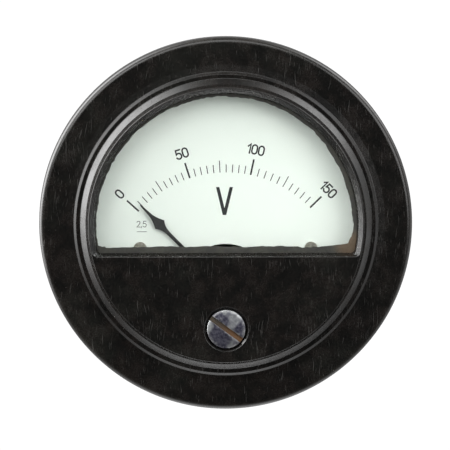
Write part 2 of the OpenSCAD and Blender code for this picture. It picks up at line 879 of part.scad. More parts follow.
// Threaded jewel holder with the jewel's recess at one end and a slot at the other
module jewel_screw(front, back, recess_at_back) {
    mouth = recess_at_back ? back : front;
    slot = recess_at_back ? front : back;
    color(brass) translate([0, 0, pivot_z]) difference() {
        rod(jewel_r, front, back);
        rod(jewel_recess_r, min(mouth, mouth + (recess_at_back ? -1 : 1) * jewel_recess) - (recess_at_back ? 0 : eps),
            max(mouth, mouth + (recess_at_back ? -1 : 1) * jewel_recess) + (recess_at_back ? eps : 0));
        translate([0, slot, 0]) block([-jewel_r - 1, -0.4, -0.25], [jewel_r + 1, 0.4, 0.25]);
    }
}

module front_jewel_screw() jewel_screw(front_jewel_front, front_jewel_back, true);

module rear_jewel_screw() jewel_screw(rear_jewel_front, rear_jewel_back, false);

module lock_nut(front, back) {
    color(nickel) translate([0, 0, pivot_z]) plate(front, back) difference() {
        circle(nut_r, $fn = 6);
        circle(jewel_r + seat_fit);
    }
}

module front_lock_nut() lock_nut(front_nut_front, front_nut_back);

module rear_lock_nut() lock_nut(rear_arm_back, rear_nut_back);

module rear_bridge() {
    color(brass) plate(rear_bridge_front, rear_bridge_back) translate([0, pivot_z]) difference() {
        square([2 * rear_bridge_len, 2 * rear_bridge_half], center = true);
        circle(jewel_r + seat_fit);
        for (x = [-rear_spacer_x, rear_spacer_x]) translate([x, 0]) circle(rear_screw_r + pass_fit);
    }
}

module rear_spacers() {
    color(brass) for (x = [-rear_spacer_x, rear_spacer_x]) difference() {
        rod(rear_spacer_r, base_back, rear_bridge_front, [x, pivot_z]);
        rod(rear_screw_r + pass_fit, base_back - eps, rear_bridge_front + eps, [x, pivot_z]);
    }
}

module rear_bridge_screws() {
    color(nickel) for (x = [-rear_spacer_x, rear_spacer_x]) {
        cheese_screw([x, pivot_z], rear_bridge_back, rear_bridge_back - base_front - 0.3, rear_screw_r,
            rear_head_r, 0.8, rear = true);
    }
}

module rear_spring_arm() {
    color(brass) translate([0, 0, pivot_z]) {
        plate(rear_bridge_back, rear_arm_back) difference() {
            union() {
                circle(fork_hub_r);
                translate([-spring_tab_half, 0]) square([2 * spring_tab_half, spring_outer + spring_tab_t]);
            }
            circle(jewel_r + seat_fit);
        }
        block([-spring_tab_half, rear_spring_front, spring_outer],
            [spring_tab_half, rear_bridge_back + eps, spring_outer + spring_tab_t]);
    }
}

module resistor_bobbin() {
    color([0.86, 0.82, 0.72]) translate([0, base_back, resistor_z]) difference() {
        union() {
            rod(resistor_core_r, 0, resistor_len);
            rod(resistor_cheek_r, 0, resistor_cheek_t);
            rod(resistor_cheek_r, resistor_len - resistor_cheek_t, resistor_len);
        }
        rod(resistor_screw_r + pass_fit, -eps, resistor_len + eps);
    }
}

module resistor_winding() {
    color([0.45, 0.12, 0.08]) translate([0, base_back, resistor_z]) difference() {
        rod(resistor_winding_r, resistor_cheek_t, resistor_len - resistor_cheek_t);
        rod(resistor_core_r, 0, resistor_len);
    }
}

module resistor_screw() {
    color(nickel) cheese_screw([0, resistor_z], base_back + resistor_len, resistor_len + base_t,
        resistor_screw_r, 2.8, 1.5, rear = true);
}

module terminal_studs() {
    groove_y = barrel_depth + washer_t + terminal_nut_t;
    color(brass) for (at = terminal_xz) {
        rod(terminal_r, rear_inner - terminal_inside, groove_y, at);
        rod(terminal_r - 0.3, groove_y - eps, groove_y + terminal_groove + eps, at);
        rod(terminal_r, groove_y + terminal_groove, barrel_depth + terminal_len, at);
    }
}

// Hexagon nut centred on a stud
module hex_nut(at, front, back, af) {
    plate(front, back) translate(at) difference() {
        circle(af / sqrt(3), $fn = 6);
        circle(terminal_r + seat_fit);
    }
}

module terminal_nuts() {
    low = barrel_depth + washer_t;
    color(brass) for (at = terminal_xz) {
        hex_nut(at, low, low + terminal_nut_t, terminal_nut_af);
    }
}

module terminal_washers() {
    color(brass)
        for (at = terminal_xz)
            plate(barrel_depth, barrel_depth + washer_t) translate(at) difference() {
                circle(washer_r);
                circle(terminal_r + seat_fit);
            }
}

module inner_nuts() {
    color(brass) for (at = terminal_xz) hex_nut(at, inner_nut_front, inner_washer_front, terminal_nut_af);
}

module solder_tags() {
    color([0.70, 0.68, 0.60]) for (at = terminal_xz) {
        plate(inner_washer_front, rear_inner) translate(at) difference() {
            union() {
                circle(washer_r - 0.6);
                translate([-1, 0]) square([2, tag_len]);
            }
            circle(terminal_r + seat_fit);
            translate([0, tag_len - 1.2]) circle(0.5);
        }
    }
}

// Points along a curve that leaves a towards b and arrives at c from b
function bend(a, b, c) = [
    for (i = [0:wire_steps]) let (t = i / wire_steps) pow(1 - t, 2) * a + 2 * t * (1 - t) * b + t * t * c
];

// Direction of a path at one of its points
function heading(path, i) = path[min(i + 1, len(path) - 1)] - path[max(i - 1, 0)];

// Insulated wire: a closed tube with a ring of points round each point of its path
module wire(path) {
    last = len(path) - 1;
    rings = [
        for (i = [0:last], k = [0:wire_sides - 1])
            let (
                along = heading(path, i) / norm(heading(path, i)),
                side = cross(along, [0, 0, 1]) / norm(cross(along, [0, 0, 1])),
                a = 360 * k / wire_sides
            )
            path[i] + wire_r * (cos(a) * side + sin(a) * cross(side, along))
    ];
    walls = [
        for (i = [0:last - 1], k = [0:wire_sides - 1])
            let (n = (k + 1) % wire_sides, low = i * wire_sides, high = low + wire_sides)
            [low + k, low + n, high + n, high + k]
    ];
    caps = [
        [for (k = [wire_sides - 1:-1:0]) k],
        [for (k = [0:wire_sides - 1]) last * wire_sides + k]
    ];
    polyhedron(rings, concat(walls, caps), convexity = 4);
}

// Two leads: terminal to resistor, and the other terminal to the frame
module lead_wires() {
    tag_y = inner_washer_front - wire_r - 0.05;
    tag_z = terminal_z + tag_len - 1.2;
    cheek_y = base_back + resistor_len - resistor_cheek_t / 2;
    color([0.55, 0.10, 0.08]) {
        wire(bend(
            [terminal_x, tag_y, tag_z], [terminal_x - 1, cheek_y, resistor_z],
            [resistor_cheek_r + 0.1, cheek_y, resistor_z]
        ));
        wire(bend(
            [-terminal_x, tag_y, tag_z], [1 - tongue_half, base_back + 8, base_high + 1],
            [1 - tongue_half, base_back + 0.1, base_high + 1]
        ));
    }
}

front_cover();
window_glass();
glass_cement();
rear_case();
case_screws();
mounting_studs();
zero_screw();
zero_eccentric();
zero_spring_washer();
zero_regulator();
dial_plate();
dial_screws();
dial_posts();
pointer_stops();
pointer();
balance_cross();
balance_weights();
coil_former();
coil_winding();
front_staff();
rear_staff();
front_hairspring();
rear_hairspring();
core();
core_bracket();
core_bracket_screws();
pole_pieces();
pole_screws();
magnet();
magnet_clamp();
clamp_screw();
movement_base();
movement_pillars();
base_screws();
rear_wall_screws();
front_bridge();
bridge_posts();
bridge_screws();
front_jewel_screw();
front_lock_nut();
rear_bridge();
rear_spacers();
rear_bridge_screws();
rear_jewel_screw();
rear_lock_nut();
rear_spring_arm();
resistor_bobbin();
resistor_winding();
resistor_screw();
terminal_studs();
terminal_nuts();
terminal_washers();
inner_nuts();
solder_tags();
lead_wires();
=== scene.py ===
import json
import math

import bmesh
import bpy
from mathutils import Matrix, Vector, noise
from mathutils.geometry import delaunay_2d_cdt


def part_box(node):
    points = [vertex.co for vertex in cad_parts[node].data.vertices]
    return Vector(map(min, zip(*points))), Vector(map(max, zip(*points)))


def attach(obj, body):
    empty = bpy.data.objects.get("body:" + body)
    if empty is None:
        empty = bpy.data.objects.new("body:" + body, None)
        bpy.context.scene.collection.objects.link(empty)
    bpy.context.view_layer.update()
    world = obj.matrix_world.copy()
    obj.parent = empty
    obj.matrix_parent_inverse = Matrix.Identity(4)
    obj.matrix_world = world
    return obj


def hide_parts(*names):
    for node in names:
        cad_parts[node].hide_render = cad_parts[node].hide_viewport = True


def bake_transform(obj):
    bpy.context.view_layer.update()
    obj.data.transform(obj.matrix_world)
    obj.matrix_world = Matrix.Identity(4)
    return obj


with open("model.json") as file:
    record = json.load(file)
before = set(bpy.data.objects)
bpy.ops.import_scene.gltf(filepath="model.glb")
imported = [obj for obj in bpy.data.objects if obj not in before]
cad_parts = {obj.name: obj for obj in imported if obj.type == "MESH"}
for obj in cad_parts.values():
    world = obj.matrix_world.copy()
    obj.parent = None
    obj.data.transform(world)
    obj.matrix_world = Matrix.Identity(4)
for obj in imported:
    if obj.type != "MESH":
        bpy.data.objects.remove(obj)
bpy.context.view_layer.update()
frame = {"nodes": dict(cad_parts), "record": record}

MM = 0.001

# Case
FLANGE_R = 42.5
FLANGE_Y = -5.0
FRONT_Y = -9.5
INNER_Y = -6.9
TIER_Y = -5.6
BOSS_R = 33.2
WALL_FOOT_R, WALL_FOOT_Y = 31.88, -6.95
TIER_R, TIER_EDGE_R, TIER_EDGE_Y, TIER_FOOT_R = 34.1, 34.7, -5.15, 36.3
CREST_R = 31.358
CREST_ROUND = 0.2
FLAT_R = 31.2
CAVITY_R = 30.8
BARREL_R = 33.0
BARREL_BORE = 30.6
BARREL_BACK = 34.0
BARREL_FLOOR = 31.5
LIP_SEAT_R = 36.5
LIP_R = 36.4
LIP_BACK = -0.2
LIP_FRONT = -2.0
AROUND = 240

# Window
WINDOW_R = 31.1
WINDOW_EDGE = -7.15
GLASS_WINDOW_R = 29.8
GLASS_WINDOW_EDGE = -6.5
WINDOW_STEP = 1.0
WINDOW_ARC_ROUND, WINDOW_EDGE_ROUND = 0.15, 0.25
WINDOW_CORNER, GLASS_CORNER = 1.25, 1.0
WINDOW_LEAN_Y = 1.1
WINDOW_LEAN = 1.0 / WINDOW_LEAN_Y
WALL = INNER_Y - FRONT_Y
OPENING_GROWTH = 0.014

# Zero adjuster
ADJUSTER_Z = -23.7
ADJUSTER_R = 4.35
ADJUSTER_DOME = 0.25
ADJUSTER_FLOOR = -8.2
SHANK_R = 2.0
SHANK_HOLE_R = 2.05
RECESS_R = 4.73
RECESS_LIP_R = 5.15
RECESS_EDGE_R = RECESS_LIP_R + 0.15
RECESS_AROUND = 96
SLOT_W = 1.15
SLOT_FLOOR = -8.95
SLOT_TURN = math.radians(36)

# Dial and pointer
PIVOT_Z = -15.5
DIAL_Y = -1.0
INK = 0.012
TICK_FOOT = 26.75
FIRST_TICK = math.radians(-48.0)
LOW_STEP, HIGH_STEP, STEP_CHANGE = math.radians(3.005), math.radians(3.37), 20
REST_ANGLE = math.radians(-44.8)
NUMERAL_R = 32.65
NUMERAL_H = 2.05
PRINT_SHIFT = (0.1, 0.0, 0.2)
UNIT_MARK = [(-2.28, 7.9), (-1.52, 7.9), (-0.34, 3.1), (0.84, 7.9), (1.60, 7.9), (0.06, 1.5), (-0.74, 1.5)]

# Hairsprings, to the middle of the strip
SPRING_TURNS = 4.0
SPRING_INNER = 1.26
SPRING_OUTER = 4.04
FRONT_SPRING_Y, REAR_SPRING_Y = -3.0, 16.0

# Rear
TERMINALS = [(-16.0, 0, -2.0), (16.0, 0, -2.0)]
REAR_SCREWS = [(-21.5, -15.5), (21.5, -15.5), (0.0, 19.0)]
MARK_HALF_LENGTH, MARK_HALF_WIDTH, MARK_Z = 1.8, 0.45, 7.0
STUD_LENGTH, COLLAR_R, COLLAR_FRONT = 16.0, 2.0, -3.2
THREADS = [(25.5, 38.8, 0.5), (39.3, 49.0, 0.55)]  # front, back and chamfer
NECK_R, NECK_FRONT, NECK_BACK = 2.05, 38.6, 39.5
NUT_FLATS, NUT_FRONT, NUT_BACK = 8.0, 34.8, 38.8
WASHER_BORE, WASHER_R, WASHER_FRONT = 2.53, 5.0, 34.0
RESISTOR_Z, WIRE = 8.0, 0.36
WOUND_R, BOBBIN_R, UNDERLAYER_R = 5.8, 3.62, 5.7


# ---------------------------------------------------------------- node benches

class Flow:
    """A value on its way through a node tree. Plain arithmetic on it adds Math nodes."""

    def __init__(self, tree, socket):
        self.tree, self.socket = tree, socket

    def step(self, operation, *others):
        return calc(self.tree, operation, self, *others)

    def __add__(self, other):
        return self.step("ADD", other)

    def __sub__(self, other):
        return self.step("SUBTRACT", other)

    def __rsub__(self, other):
        return calc(self.tree, "SUBTRACT", other, self)

    def __mul__(self, other):
        return self.step("MULTIPLY", other)

    def __truediv__(self, other):
        return self.step("DIVIDE", other)


def put(tree, kind, sockets=None, **settings):
    """Add a node. sockets maps an input's name or number to a value or a flow."""
    made = tree.nodes.new(kind)
    for key, value in settings.items():
        setattr(made, key, value)
    for key, value in (sockets or {}).items():
        if isinstance(value, Flow):
            tree.links.new(value.socket, made.inputs[key])
        else:
            made.inputs[key].default_value = value
    return made


def get(tree, kind, sockets=None, output=0, **settings):
    """Add a node and give one of its outputs."""
    return Flow(tree, put(tree, kind, sockets, **settings).outputs[output])


def calc(tree, operation, *values):
    """One step of arithmetic."""
    return get(tree, "ShaderNodeMath", dict(enumerate(values)), operation=operation)


def split(vector):
    """The three numbers of a vector."""
    made = put(vector.tree, "ShaderNodeSeparateXYZ", {0: vector})
    return [Flow(vector.tree, socket) for socket in made.outputs]


def join(tree, x=0.0, y=0.0, z=0.0):
    """A vector from three numbers."""
    return get(tree, "ShaderNodeCombineXYZ", {0: x, 1: y, 2: z})


def pick(sockets, kind, name=""):
    """The number of the first socket of a type, and of a name where one is given."""
    return next(k for k, s in enumerate(sockets) if s.type == kind and name in ("", s.name))


def titled(values):
    """Socket names from argument names."""
    return {key.replace("_", " ").title(): value for key, value in values.items()}


def open_tree(name, kind, inputs, output, output_type):
    """A node group: the tree, its inputs by name, and its end node.

    Each input is named with its default number, or with its socket type where it has none.
    """
    tree = bpy.data.node_groups.new(name, kind)
    for label, default in inputs.items():
        bare = isinstance(default, str)
        number = "NodeSocketInt" if isinstance(default, int) else "NodeSocketFloat"
        socket = tree.interface.new_socket(label, in_out="INPUT", socket_type=default if bare else number)
        if not bare:
            socket.default_value = default
    tree.interface.new_socket(output, in_out="OUTPUT", socket_type=output_type)
    start = put(tree, "NodeGroupInput")
    return tree, {label: Flow(tree, start.outputs[label]) for label in inputs}, put(tree, "NodeGroupOutput")


def geometry_tree(name, inputs):
    """A Geometry Nodes tree that takes and gives a mesh."""
    ends = {"Geometry": "NodeSocketGeometry", "Finish": "NodeSocketMaterial"}
    return open_tree(name, "GeometryNodeTree", {**ends, **inputs}, "Geometry", "NodeSocketGeometry")


def close_geometry(given, end, last):
    """End a tree in Realize Instances and Set Material."""
    tree = last.tree
    real = get(tree, "GeometryNodeRealizeInstances", {"Geometry": last})
    done = get(tree, "GeometryNodeSetMaterial", {"Geometry": real, "Material": given["Finish"]})
    tree.links.new(done.socket, end.inputs["Geometry"])
    return tree


def unit_sheet(tree, segments, last_row):
    """A grid to bend round an axis, each point's share of the turn, and its row."""
    sheet = get(tree, "GeometryNodeMeshGrid", {
        "Size X": 1.0, "Size Y": 1.0, "Vertices X": segments + 1.0, "Vertices Y": last_row + 1.0})
    x, y, _ = split(get(tree, "GeometryNodeInputPosition"))
    return sheet, x + 0.5, ((y + 0.5) * last_row).step("ROUND")


def bend_round(sheet, share, r, y, centre_x, centre_z, seam):
    """Bend a sheet round an axis along Y and close its seam."""
    tree, turn = sheet.tree, share * math.tau
    place = join(tree, r * turn.step("COSINE") + centre_x, y, r * turn.step("SINE") + centre_z)
    bent = get(tree, "GeometryNodeSetPosition", {"Geometry": sheet, "Position": place})
    return get(tree, "GeometryNodeMergeByDistance", {"Geometry": bent, "Distance": seam})


def moved(mesh, place, turn=(0.0, 0.0, 0.0)):
    """Turn and move a mesh."""
    return get(mesh.tree, "GeometryNodeTransform", {"Geometry": mesh, "Translation": place, "Rotation": turn})


def set_out(points, model, **values):
    """Set a model at every point."""
    return get(points.tree, "GeometryNodeInstanceOnPoints", {"Points": points, "Instance": model, **titled(values)})


def grow(tree, points, slot, values):
    """Run a tree on a mesh of bare points and give the plain mesh it makes."""
    base = bpy.data.meshes.new("bench")
    base.from_pydata(points, [], [])
    obj = bpy.data.objects.new("bench", base)
    bpy.context.scene.collection.objects.link(obj)
    growth = obj.modifiers.new("growth", "NODES")
    growth.node_group = tree
    values = {**values, "Finish": FINISH[slot]}
    for item in tree.interface.items_tree:
        if item.in_out == "INPUT" and item.name in values:
            value = values[item.name]
            growth[item.identifier] = float(value) if item.socket_type == "NodeSocketFloat" else value
    graph = bpy.context.evaluated_depsgraph_get()
    mesh = bpy.data.meshes.new_from_object(obj.evaluated_get(graph), depsgraph=graph)
    obj.modifiers.remove(growth)
    bpy.data.objects.remove(obj)
    bpy.data.meshes.remove(base)
    return mesh


# ---------------------------------------------------------------- meshes

def rounded(corners, steps=6, guard=0.05):
    """Path through corners (u, v, radius), each corner rounded, with a guard point beside each rounding."""
    path = []
    for i, (u, v, radius) in enumerate(corners):
        here = Vector((u, v))
        if radius == 0:
            path.append(here)
            continue
        before = (Vector(corners[i - 1][:2]) - here).normalized()
        after = (Vector(corners[(i + 1) % len(corners)][:2]) - here).normalized()
        half = before.angle(after) / 2
        run = radius / math.tan(half)
        centre = here + (before + after).normalized() * (radius / math.sin(half))
        start, end = here + before * run - centre, here + after * run - centre
        sweep = math.atan2(start.x * end.y - start.y * end.x, start.dot(end))
        path.append(centre + start + before * guard)
        path += [centre + Matrix.Rotation(sweep * k / steps, 2) @ start for k in range(steps + 1)]
        path.append(centre + end + after * guard)
    return path


def weld(bm, reach=0.0008):
    """Merge doubled points and turn every face outwards."""
    bmesh.ops.remove_doubles(bm, verts=bm.verts, dist=reach)
    bmesh.ops.dissolve_degenerate(bm, edges=bm.edges, dist=reach / 10)
    bmesh.ops.recalc_face_normals(bm, faces=bm.faces)


def mark_wear(bm, full=0.2):
    """Store how strongly each point sits on an outward edge, for the wear in the finishes."""
    layer = bm.verts.layers.float.new("wear")
    for vert in bm.verts:
        turns = [edge.calc_face_angle_signed(0.0) for edge in vert.link_edges if len(edge.link_faces) == 2]
        vert[layer] = min(1.0, max([0.0, *turns]) / full)


def piece(name, bm, body, slot, stands_for=(), smooth=38, finish=None):
    """Finish a mesh drawn in millimetres as a piece that rides a body. Given a tuple of bodies instead, its place
    is only baked into the mesh and it rides none.
    """
    mark_wear(bm)
    bmesh.ops.scale(bm, vec=(MM, MM, MM), verts=bm.verts)
    mesh = bpy.data.meshes.new(name)
    bm.to_mesh(mesh)
    bm.free()
    mesh.shade_smooth()
    mesh.set_sharp_from_angle(angle=math.radians(smooth))
    mesh.materials.clear()
    mesh.materials.append(FINISH[finish or slot])
    mesh.polygons.foreach_set("material_index", [0] * len(mesh.polygons))
    obj = bpy.data.objects.new(name, mesh)
    bpy.context.scene.collection.objects.link(obj)
    if isinstance(body, tuple):
        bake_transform(obj)
    else:
        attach(obj, body)
    if stands_for:
        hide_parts(*stands_for)
    return obj


def add_faces(bm, rows):
    """Join rows of points, each a closed ring, into a band of quads."""
    for low, high in zip(rows, rows[1:]):
        for k in range(len(low)):
            bm.faces.new((low[k - 1], low[k], high[k], high[k - 1]))


def add_loft(bm, rings):
    """Add rings of places, all with the same count, and the band that joins them."""
    add_faces(bm, [[bm.verts.new(p) for p in ring] for ring in rings])


def inside(point, loop):
    """True if a flat point lies inside a closed loop."""
    x, z = point
    hit = False
    for (x0, z0), (x1, z1) in zip([loop[-1]] + loop, loop):
        if (z0 > z) != (z1 > z) and x < (x1 - x0) * (z - z0) / (z1 - z0) + x0:
            hit = not hit
    return hit


def add_flat(bm, y, loops):
    """Fill the plane at y between the first loop of (x, z) and the others, which are holes."""
    points, edges = [], []
    for loop in loops:
        first = len(points)
        points += [Vector(p) for p in loop]
        edges += [(first + k, first + (k + 1) % len(loop)) for k in range(len(loop))]
    made, _, faces, _, _, _ = delaunay_2d_cdt(points, edges, [], 0, 1e-7)
    verts = [bm.verts.new((p.x, y, p.y)) for p in made]
    for face in faces:
        middle = sum((made[k] for k in face), Vector((0, 0))) / len(face)
        if inside(middle, loops[0]) and not any(inside(middle, hole) for hole in loops[1:]):
            bm.faces.new([verts[k] for k in face])


def arc(at, r, start, sweep, count):
    """Points (x, z) along an arc, without its last one."""
    turns = [start + sweep * k / count for k in range(count)]
    return [(at[0] + r * math.cos(t), at[1] + r * math.sin(t)) for t in turns]


def circle(r, count=AROUND, at=(0, 0)):
    """Points (x, z) round a circle."""
    return arc(at, r, 0.0, math.tau, count)


def turning_tree():
    """Tree that turns a profile of (radius, y) points about an axis along Y."""
    tree, given, end = geometry_tree("turned_body", {
        "Rows": 2, "Segments": AROUND, "Centre X": 0.0, "Centre Z": 0.0})
    sheet, share, row = unit_sheet(tree, given["Segments"], given["Rows"] - 1.0)
    r, y, _ = split(get(tree, "GeometryNodeSampleIndex", {
        "Geometry": given["Geometry"], "Value": get(tree, "GeometryNodeInputPosition"), "Index": row},
        data_type="FLOAT_VECTOR", domain="POINT"))
    return close_geometry(given, end, bend_round(sheet, share, r, y, given["Centre X"], given["Centre Z"], 0.0005))


TURNING = turning_tree()


def turned(profile, slot, count=AROUND, at=(0, 0)):
    """Plain mesh turned from a profile of (radius, y)."""
    return grow(TURNING, [(p[0], p[1], 0.0) for p in profile], slot, {
        "Rows": len(profile), "Segments": count, "Centre X": at[0], "Centre Z": at[1]})


def take_in(bm, mesh):
    """Add a mesh to a drawing and let the mesh go."""
    bm.from_mesh(mesh)
    bpy.data.meshes.remove(mesh)


def add_turned(bm, profile, slot, count=AROUND, at=(0, 0)):
    """Turn a profile and add it to a drawing."""
    take_in(bm, turned(profile, slot, count, at))


def turned_model(profile, slot, count):
    """A turned and welded model for a tree to take as an input."""
    mesh = turned(profile, slot, count)
    bm = bmesh.new()
    bm.from_mesh(mesh)
    weld(bm)
    bm.to_mesh(mesh)
    bm.free()
    model = bpy.data.objects.new("turned_model", mesh)
    bpy.context.scene.collection.objects.link(model)
    return model


def add_block(bm, low, high, bevel):
    """Box between two corners, with its edges rounded off."""
    made = bmesh.ops.create_cube(bm, size=1.0)["verts"]
    bmesh.ops.scale(bm, vec=[b - a for a, b in zip(low, high)], verts=made)
    bmesh.ops.translate(bm, vec=[(a + b) / 2 for a, b in zip(low, high)], verts=made)
    edges = list({e for v in made for e in v.link_edges})
    bmesh.ops.bevel(bm, geom=edges, offset=bevel, segments=2, affect="EDGES", profile=0.5)


def add_prism(bm, outline, front, back):
    """Straight prism from an outline of (x, z)."""
    near, far = ([bm.verts.new((x, y, z)) for x, z in outline] for y in (front, back))
    bm.faces.new(near)
    bm.faces.new(far[::-1])
    for k in range(len(near)):
        bm.faces.new((near[k - 1], far[k - 1], far[k], near[k]))


# ---------------------------------------------------------------- shader groups

def step_up(value, low, high):
    """0 below low, 1 above high, smooth between."""
    return get(value.tree, "ShaderNodeMapRange", {"Value": value, "From Min": low, "From Max": high},
               interpolation_type="SMOOTHSTEP")


def mix_value(mask, low, high):
    """Mix two numbers by a mask."""
    return get(mask.tree, "ShaderNodeMapRange", {"Value": mask, "To Min": low, "To Max": high})


def noise_value(spot, scale, detail=3.0, rough=0.55):
    """Plain noise, 0 to 1."""
    return get(spot.tree, "ShaderNodeTexNoise", {
        "Vector": spot, "Scale": scale, "Detail": detail, "Roughness": rough}, "Fac")


def laid(spot, **values):
    """A pattern's point, moved, turned or stretched."""
    return get(spot.tree, "ShaderNodeMapping", {"Vector": spot, **titled(values)})


def mask_tree(name, inputs):
    """A shader group that gives a mask at a point: the point, all its inputs, and its end node."""
    _, given, end = open_tree(name, "ShaderNodeTree", {"Point": "NodeSocketVector", **inputs},
                              "Mask", "NodeSocketFloat")
    return given["Point"], given, end


def close_mask(end, mask):
    """End a shader group in its mask."""
    mask.tree.links.new(mask.socket, end.inputs["Mask"])
    return mask.tree


def strongest(masks):
    """The largest of several masks."""
    total = masks[0]
    for mask in masks[1:]:
        total = total.step("MAXIMUM", mask)
    return total


def mottle_group():
    """Cloudy variation at one scale."""
    spot, given, end = mask_tree("mottle", {"Scale": 0.3, "Low": 0.35, "High": 0.65})
    return close_mask(end, step_up(noise_value(spot, given["Scale"], 6.0, 0.62), given["Low"], given["High"]))


def scratch_group():
    """Fine handling scratches in several directions, broken up into short lengths."""
    spot, given, end = mask_tree("fine_scratches", {"Amount": 0.5})
    tree = spot.tree
    sway = get(tree, "ShaderNodeTexNoise", {"Vector": spot, "Scale": 0.12, "Detail": 1.0}, "Color")
    bent = get(tree, "ShaderNodeVectorMath", {0: sway, "Scale": 3.0}, operation="SCALE")
    swayed = get(tree, "ShaderNodeVectorMath", {0: spot, 1: bent}, operation="ADD")
    edge = given["Amount"] * -0.10 + 0.74
    drawn = []
    for turn, across, along in ((0.05, 5.0, 0.20), (0.75, 6.0, 0.30), (1.5, 5.5, 0.26), (2.3, 5.2, 0.24)):
        lines = laid(swayed, rotation=(0.0, turn, 0.3 * turn), scale=(across, 0.6, along))
        patch = noise_value(laid(spot, location=(7.0 * turn, 3.0, 1.0)), 0.22, 2.0)
        line = step_up(noise_value(lines, 1.0, 1.5, 0.5), edge, edge + 0.05)
        drawn.append(line * step_up(patch, 0.48, 0.62))
    return close_mask(end, strongest(drawn))


def dust_group():
    """Settled specks of two sizes."""
    spot, given, end = mask_tree("dust_specks", {"Amount": 0.3})
    tree, specks = spot.tree, []
    for scale, size in ((0.9, 0.10), (2.3, 0.13)):
        cell = put(tree, "ShaderNodeTexVoronoi", {"Vector": spot, "Scale": scale})
        chance = put(tree, "ShaderNodeSeparateColor", {0: Flow(tree, cell.outputs["Color"])})
        lot, reach, strength = (Flow(tree, socket) for socket in chance.outputs)
        dot = Flow(tree, cell.outputs["Distance"]).step("LESS_THAN", reach * size)
        specks.append(lot.step("LESS_THAN", given["Amount"]) * dot * strength)
    return close_mask(end, strongest(specks))


def wear_group():
    """Rubbed outward edges, from the piece's own wear attribute broken up by noise."""
    spot, given, end = mask_tree("edge_wear", {"Amount": 0.5})
    edge = get(spot.tree, "ShaderNodeAttribute", output="Fac", attribute_name="wear", attribute_type="GEOMETRY")
    return close_mask(end, edge * step_up(noise_value(spot, 0.9, 5.0, 0.7), 0.78 - given["Amount"], 0.85))


MOTTLE, SCRATCHES, DUST, WEAR = mottle_group(), scratch_group(), dust_group(), wear_group()


def blend_colour(mask, low, high):
    """Mix two colours, each a colour or a flow, by a mask."""
    made = put(mask.tree, "ShaderNodeMix", {"Factor": mask}, data_type="RGBA")
    for name, value in (("A", low), ("B", high)):
        socket = made.inputs[pick(made.inputs, "RGBA", name)]
        if isinstance(value, Flow):
            mask.tree.links.new(value.socket, socket)
        else:
            socket.default_value = (*value, 1.0)
    return Flow(mask.tree, made.outputs[pick(made.outputs, "RGBA")])


class Finish:
    """A material in the making: one Principled shader, and the point on the surface in millimetres."""

    def __init__(self, name, **values):
        self.material = bpy.data.materials.new(name)
        self.material.use_nodes = True
        self.tree = self.material.node_tree
        self.tree.nodes.clear()
        self.shader = put(self.tree, "ShaderNodeBsdfPrincipled", titled(values))
        self.plain = Flow(self.tree, self.shader.outputs[0])
        self.sink = put(self.tree, "ShaderNodeOutputMaterial", {"Surface": self.plain})
        spot = get(self.tree, "ShaderNodeTexCoord", output="Object")
        self.spot = get(self.tree, "ShaderNodeVectorMath", {0: spot, "Scale": 1000.0}, operation="SCALE")
        self.colour = None

    def mask(self, group, **values):
        """Place a shader group and give its mask."""
        return get(self.tree, "ShaderNodeGroup", {"Point": self.spot, **titled(values)}, "Mask", node_tree=group)

    def mottle(self, scale, low, high):
        """Cloudy variation at one scale."""
        return self.mask(MOTTLE, scale=scale, low=low, high=high)

    def ground(self, mask, low, high):
        """Lay the ground colour, mottled between two."""
        self.colour = blend_colour(mask, low, high)

    def layer(self, mask, colour):
        """Lay a colour over the last one."""
        self.colour = blend_colour(mask, self.colour, colour)

    def wire(self, name, flow):
        """Feed one of the shader's inputs."""
        self.tree.links.new(flow.socket, self.shader.inputs[name])

    def by_ray(self, ray, first, second):
        """Show the second shader to one kind of ray and the first to all others."""
        seen = get(self.tree, "ShaderNodeLightPath", output=ray)
        both = get(self.tree, "ShaderNodeMixShader", {0: seen, 1: first, 2: second})
        self.tree.links.new(both.socket, self.sink.inputs["Surface"])
        return self.material

    def close(self, rough, height, strength, depth):
        """Wire the colour, the roughness and a bump, whose depth is in millimetres."""
        self.wire("Base Color", self.colour)
        self.wire("Roughness", rough)
        self.wire("Normal", get(self.tree, "ShaderNodeBump", {
            "Height": height, "Strength": strength, "Distance": depth * MM}))
        return self.material


# ---------------------------------------------------------------- finishes

def phenolic():
    """Black phenolic moulding: brown mottle, fine scratches, dust and rubbed edges."""
    made = Finish("phenolic")
    cloud, fine = made.mottle(0.28, 0.36, 0.68), made.mottle(2.4, 0.40, 0.70)
    haze = made.mottle(0.055, 0.44, 0.70) * (fine * 0.5 + 0.3)
    scratch, dust = made.mask(SCRATCHES, amount=0.75), made.mask(DUST, amount=0.34)
    made.ground(cloud, (0.0032, 0.0032, 0.0030), (0.0064, 0.0045, 0.0036))
    made.layer(fine * 0.35, (0.0090, 0.0078, 0.0064))
    made.layer(haze, (0.0170, 0.0175, 0.0145))
    made.layer(scratch * 0.35, (0.050, 0.047, 0.042))
    made.layer(made.mask(WEAR, amount=0.5) * 0.35, (0.030, 0.026, 0.022))
    made.layer(dust * 0.55, (0.22, 0.21, 0.19))
    rough = scratch.step("MAXIMUM", dust) * 0.25 + (fine * 0.06 + mix_value(cloud, 0.19, 0.27))
    return made.close(rough, scratch * -0.3 + noise_value(made.spot, 1.1, 1.5, 0.5), 0.12, 0.02)


def clear_glass():
    """Clear window glass that lets the lamps through."""
    made = Finish("window_glass", transmission_weight=1.0, base_color=(0.985, 1.0, 0.990, 1.0))
    made.shader.inputs["IOR"].default_value = 1.5
    made.wire("Roughness", mix_value(made.mottle(0.16, 0.45, 0.75), 0.0, 0.03))
    through = get(made.tree, "ShaderNodeBsdfTransparent", {"Color": (0.97, 0.985, 0.975, 1.0)})
    return made.by_ray("Is Shadow Ray", made.plain, through)


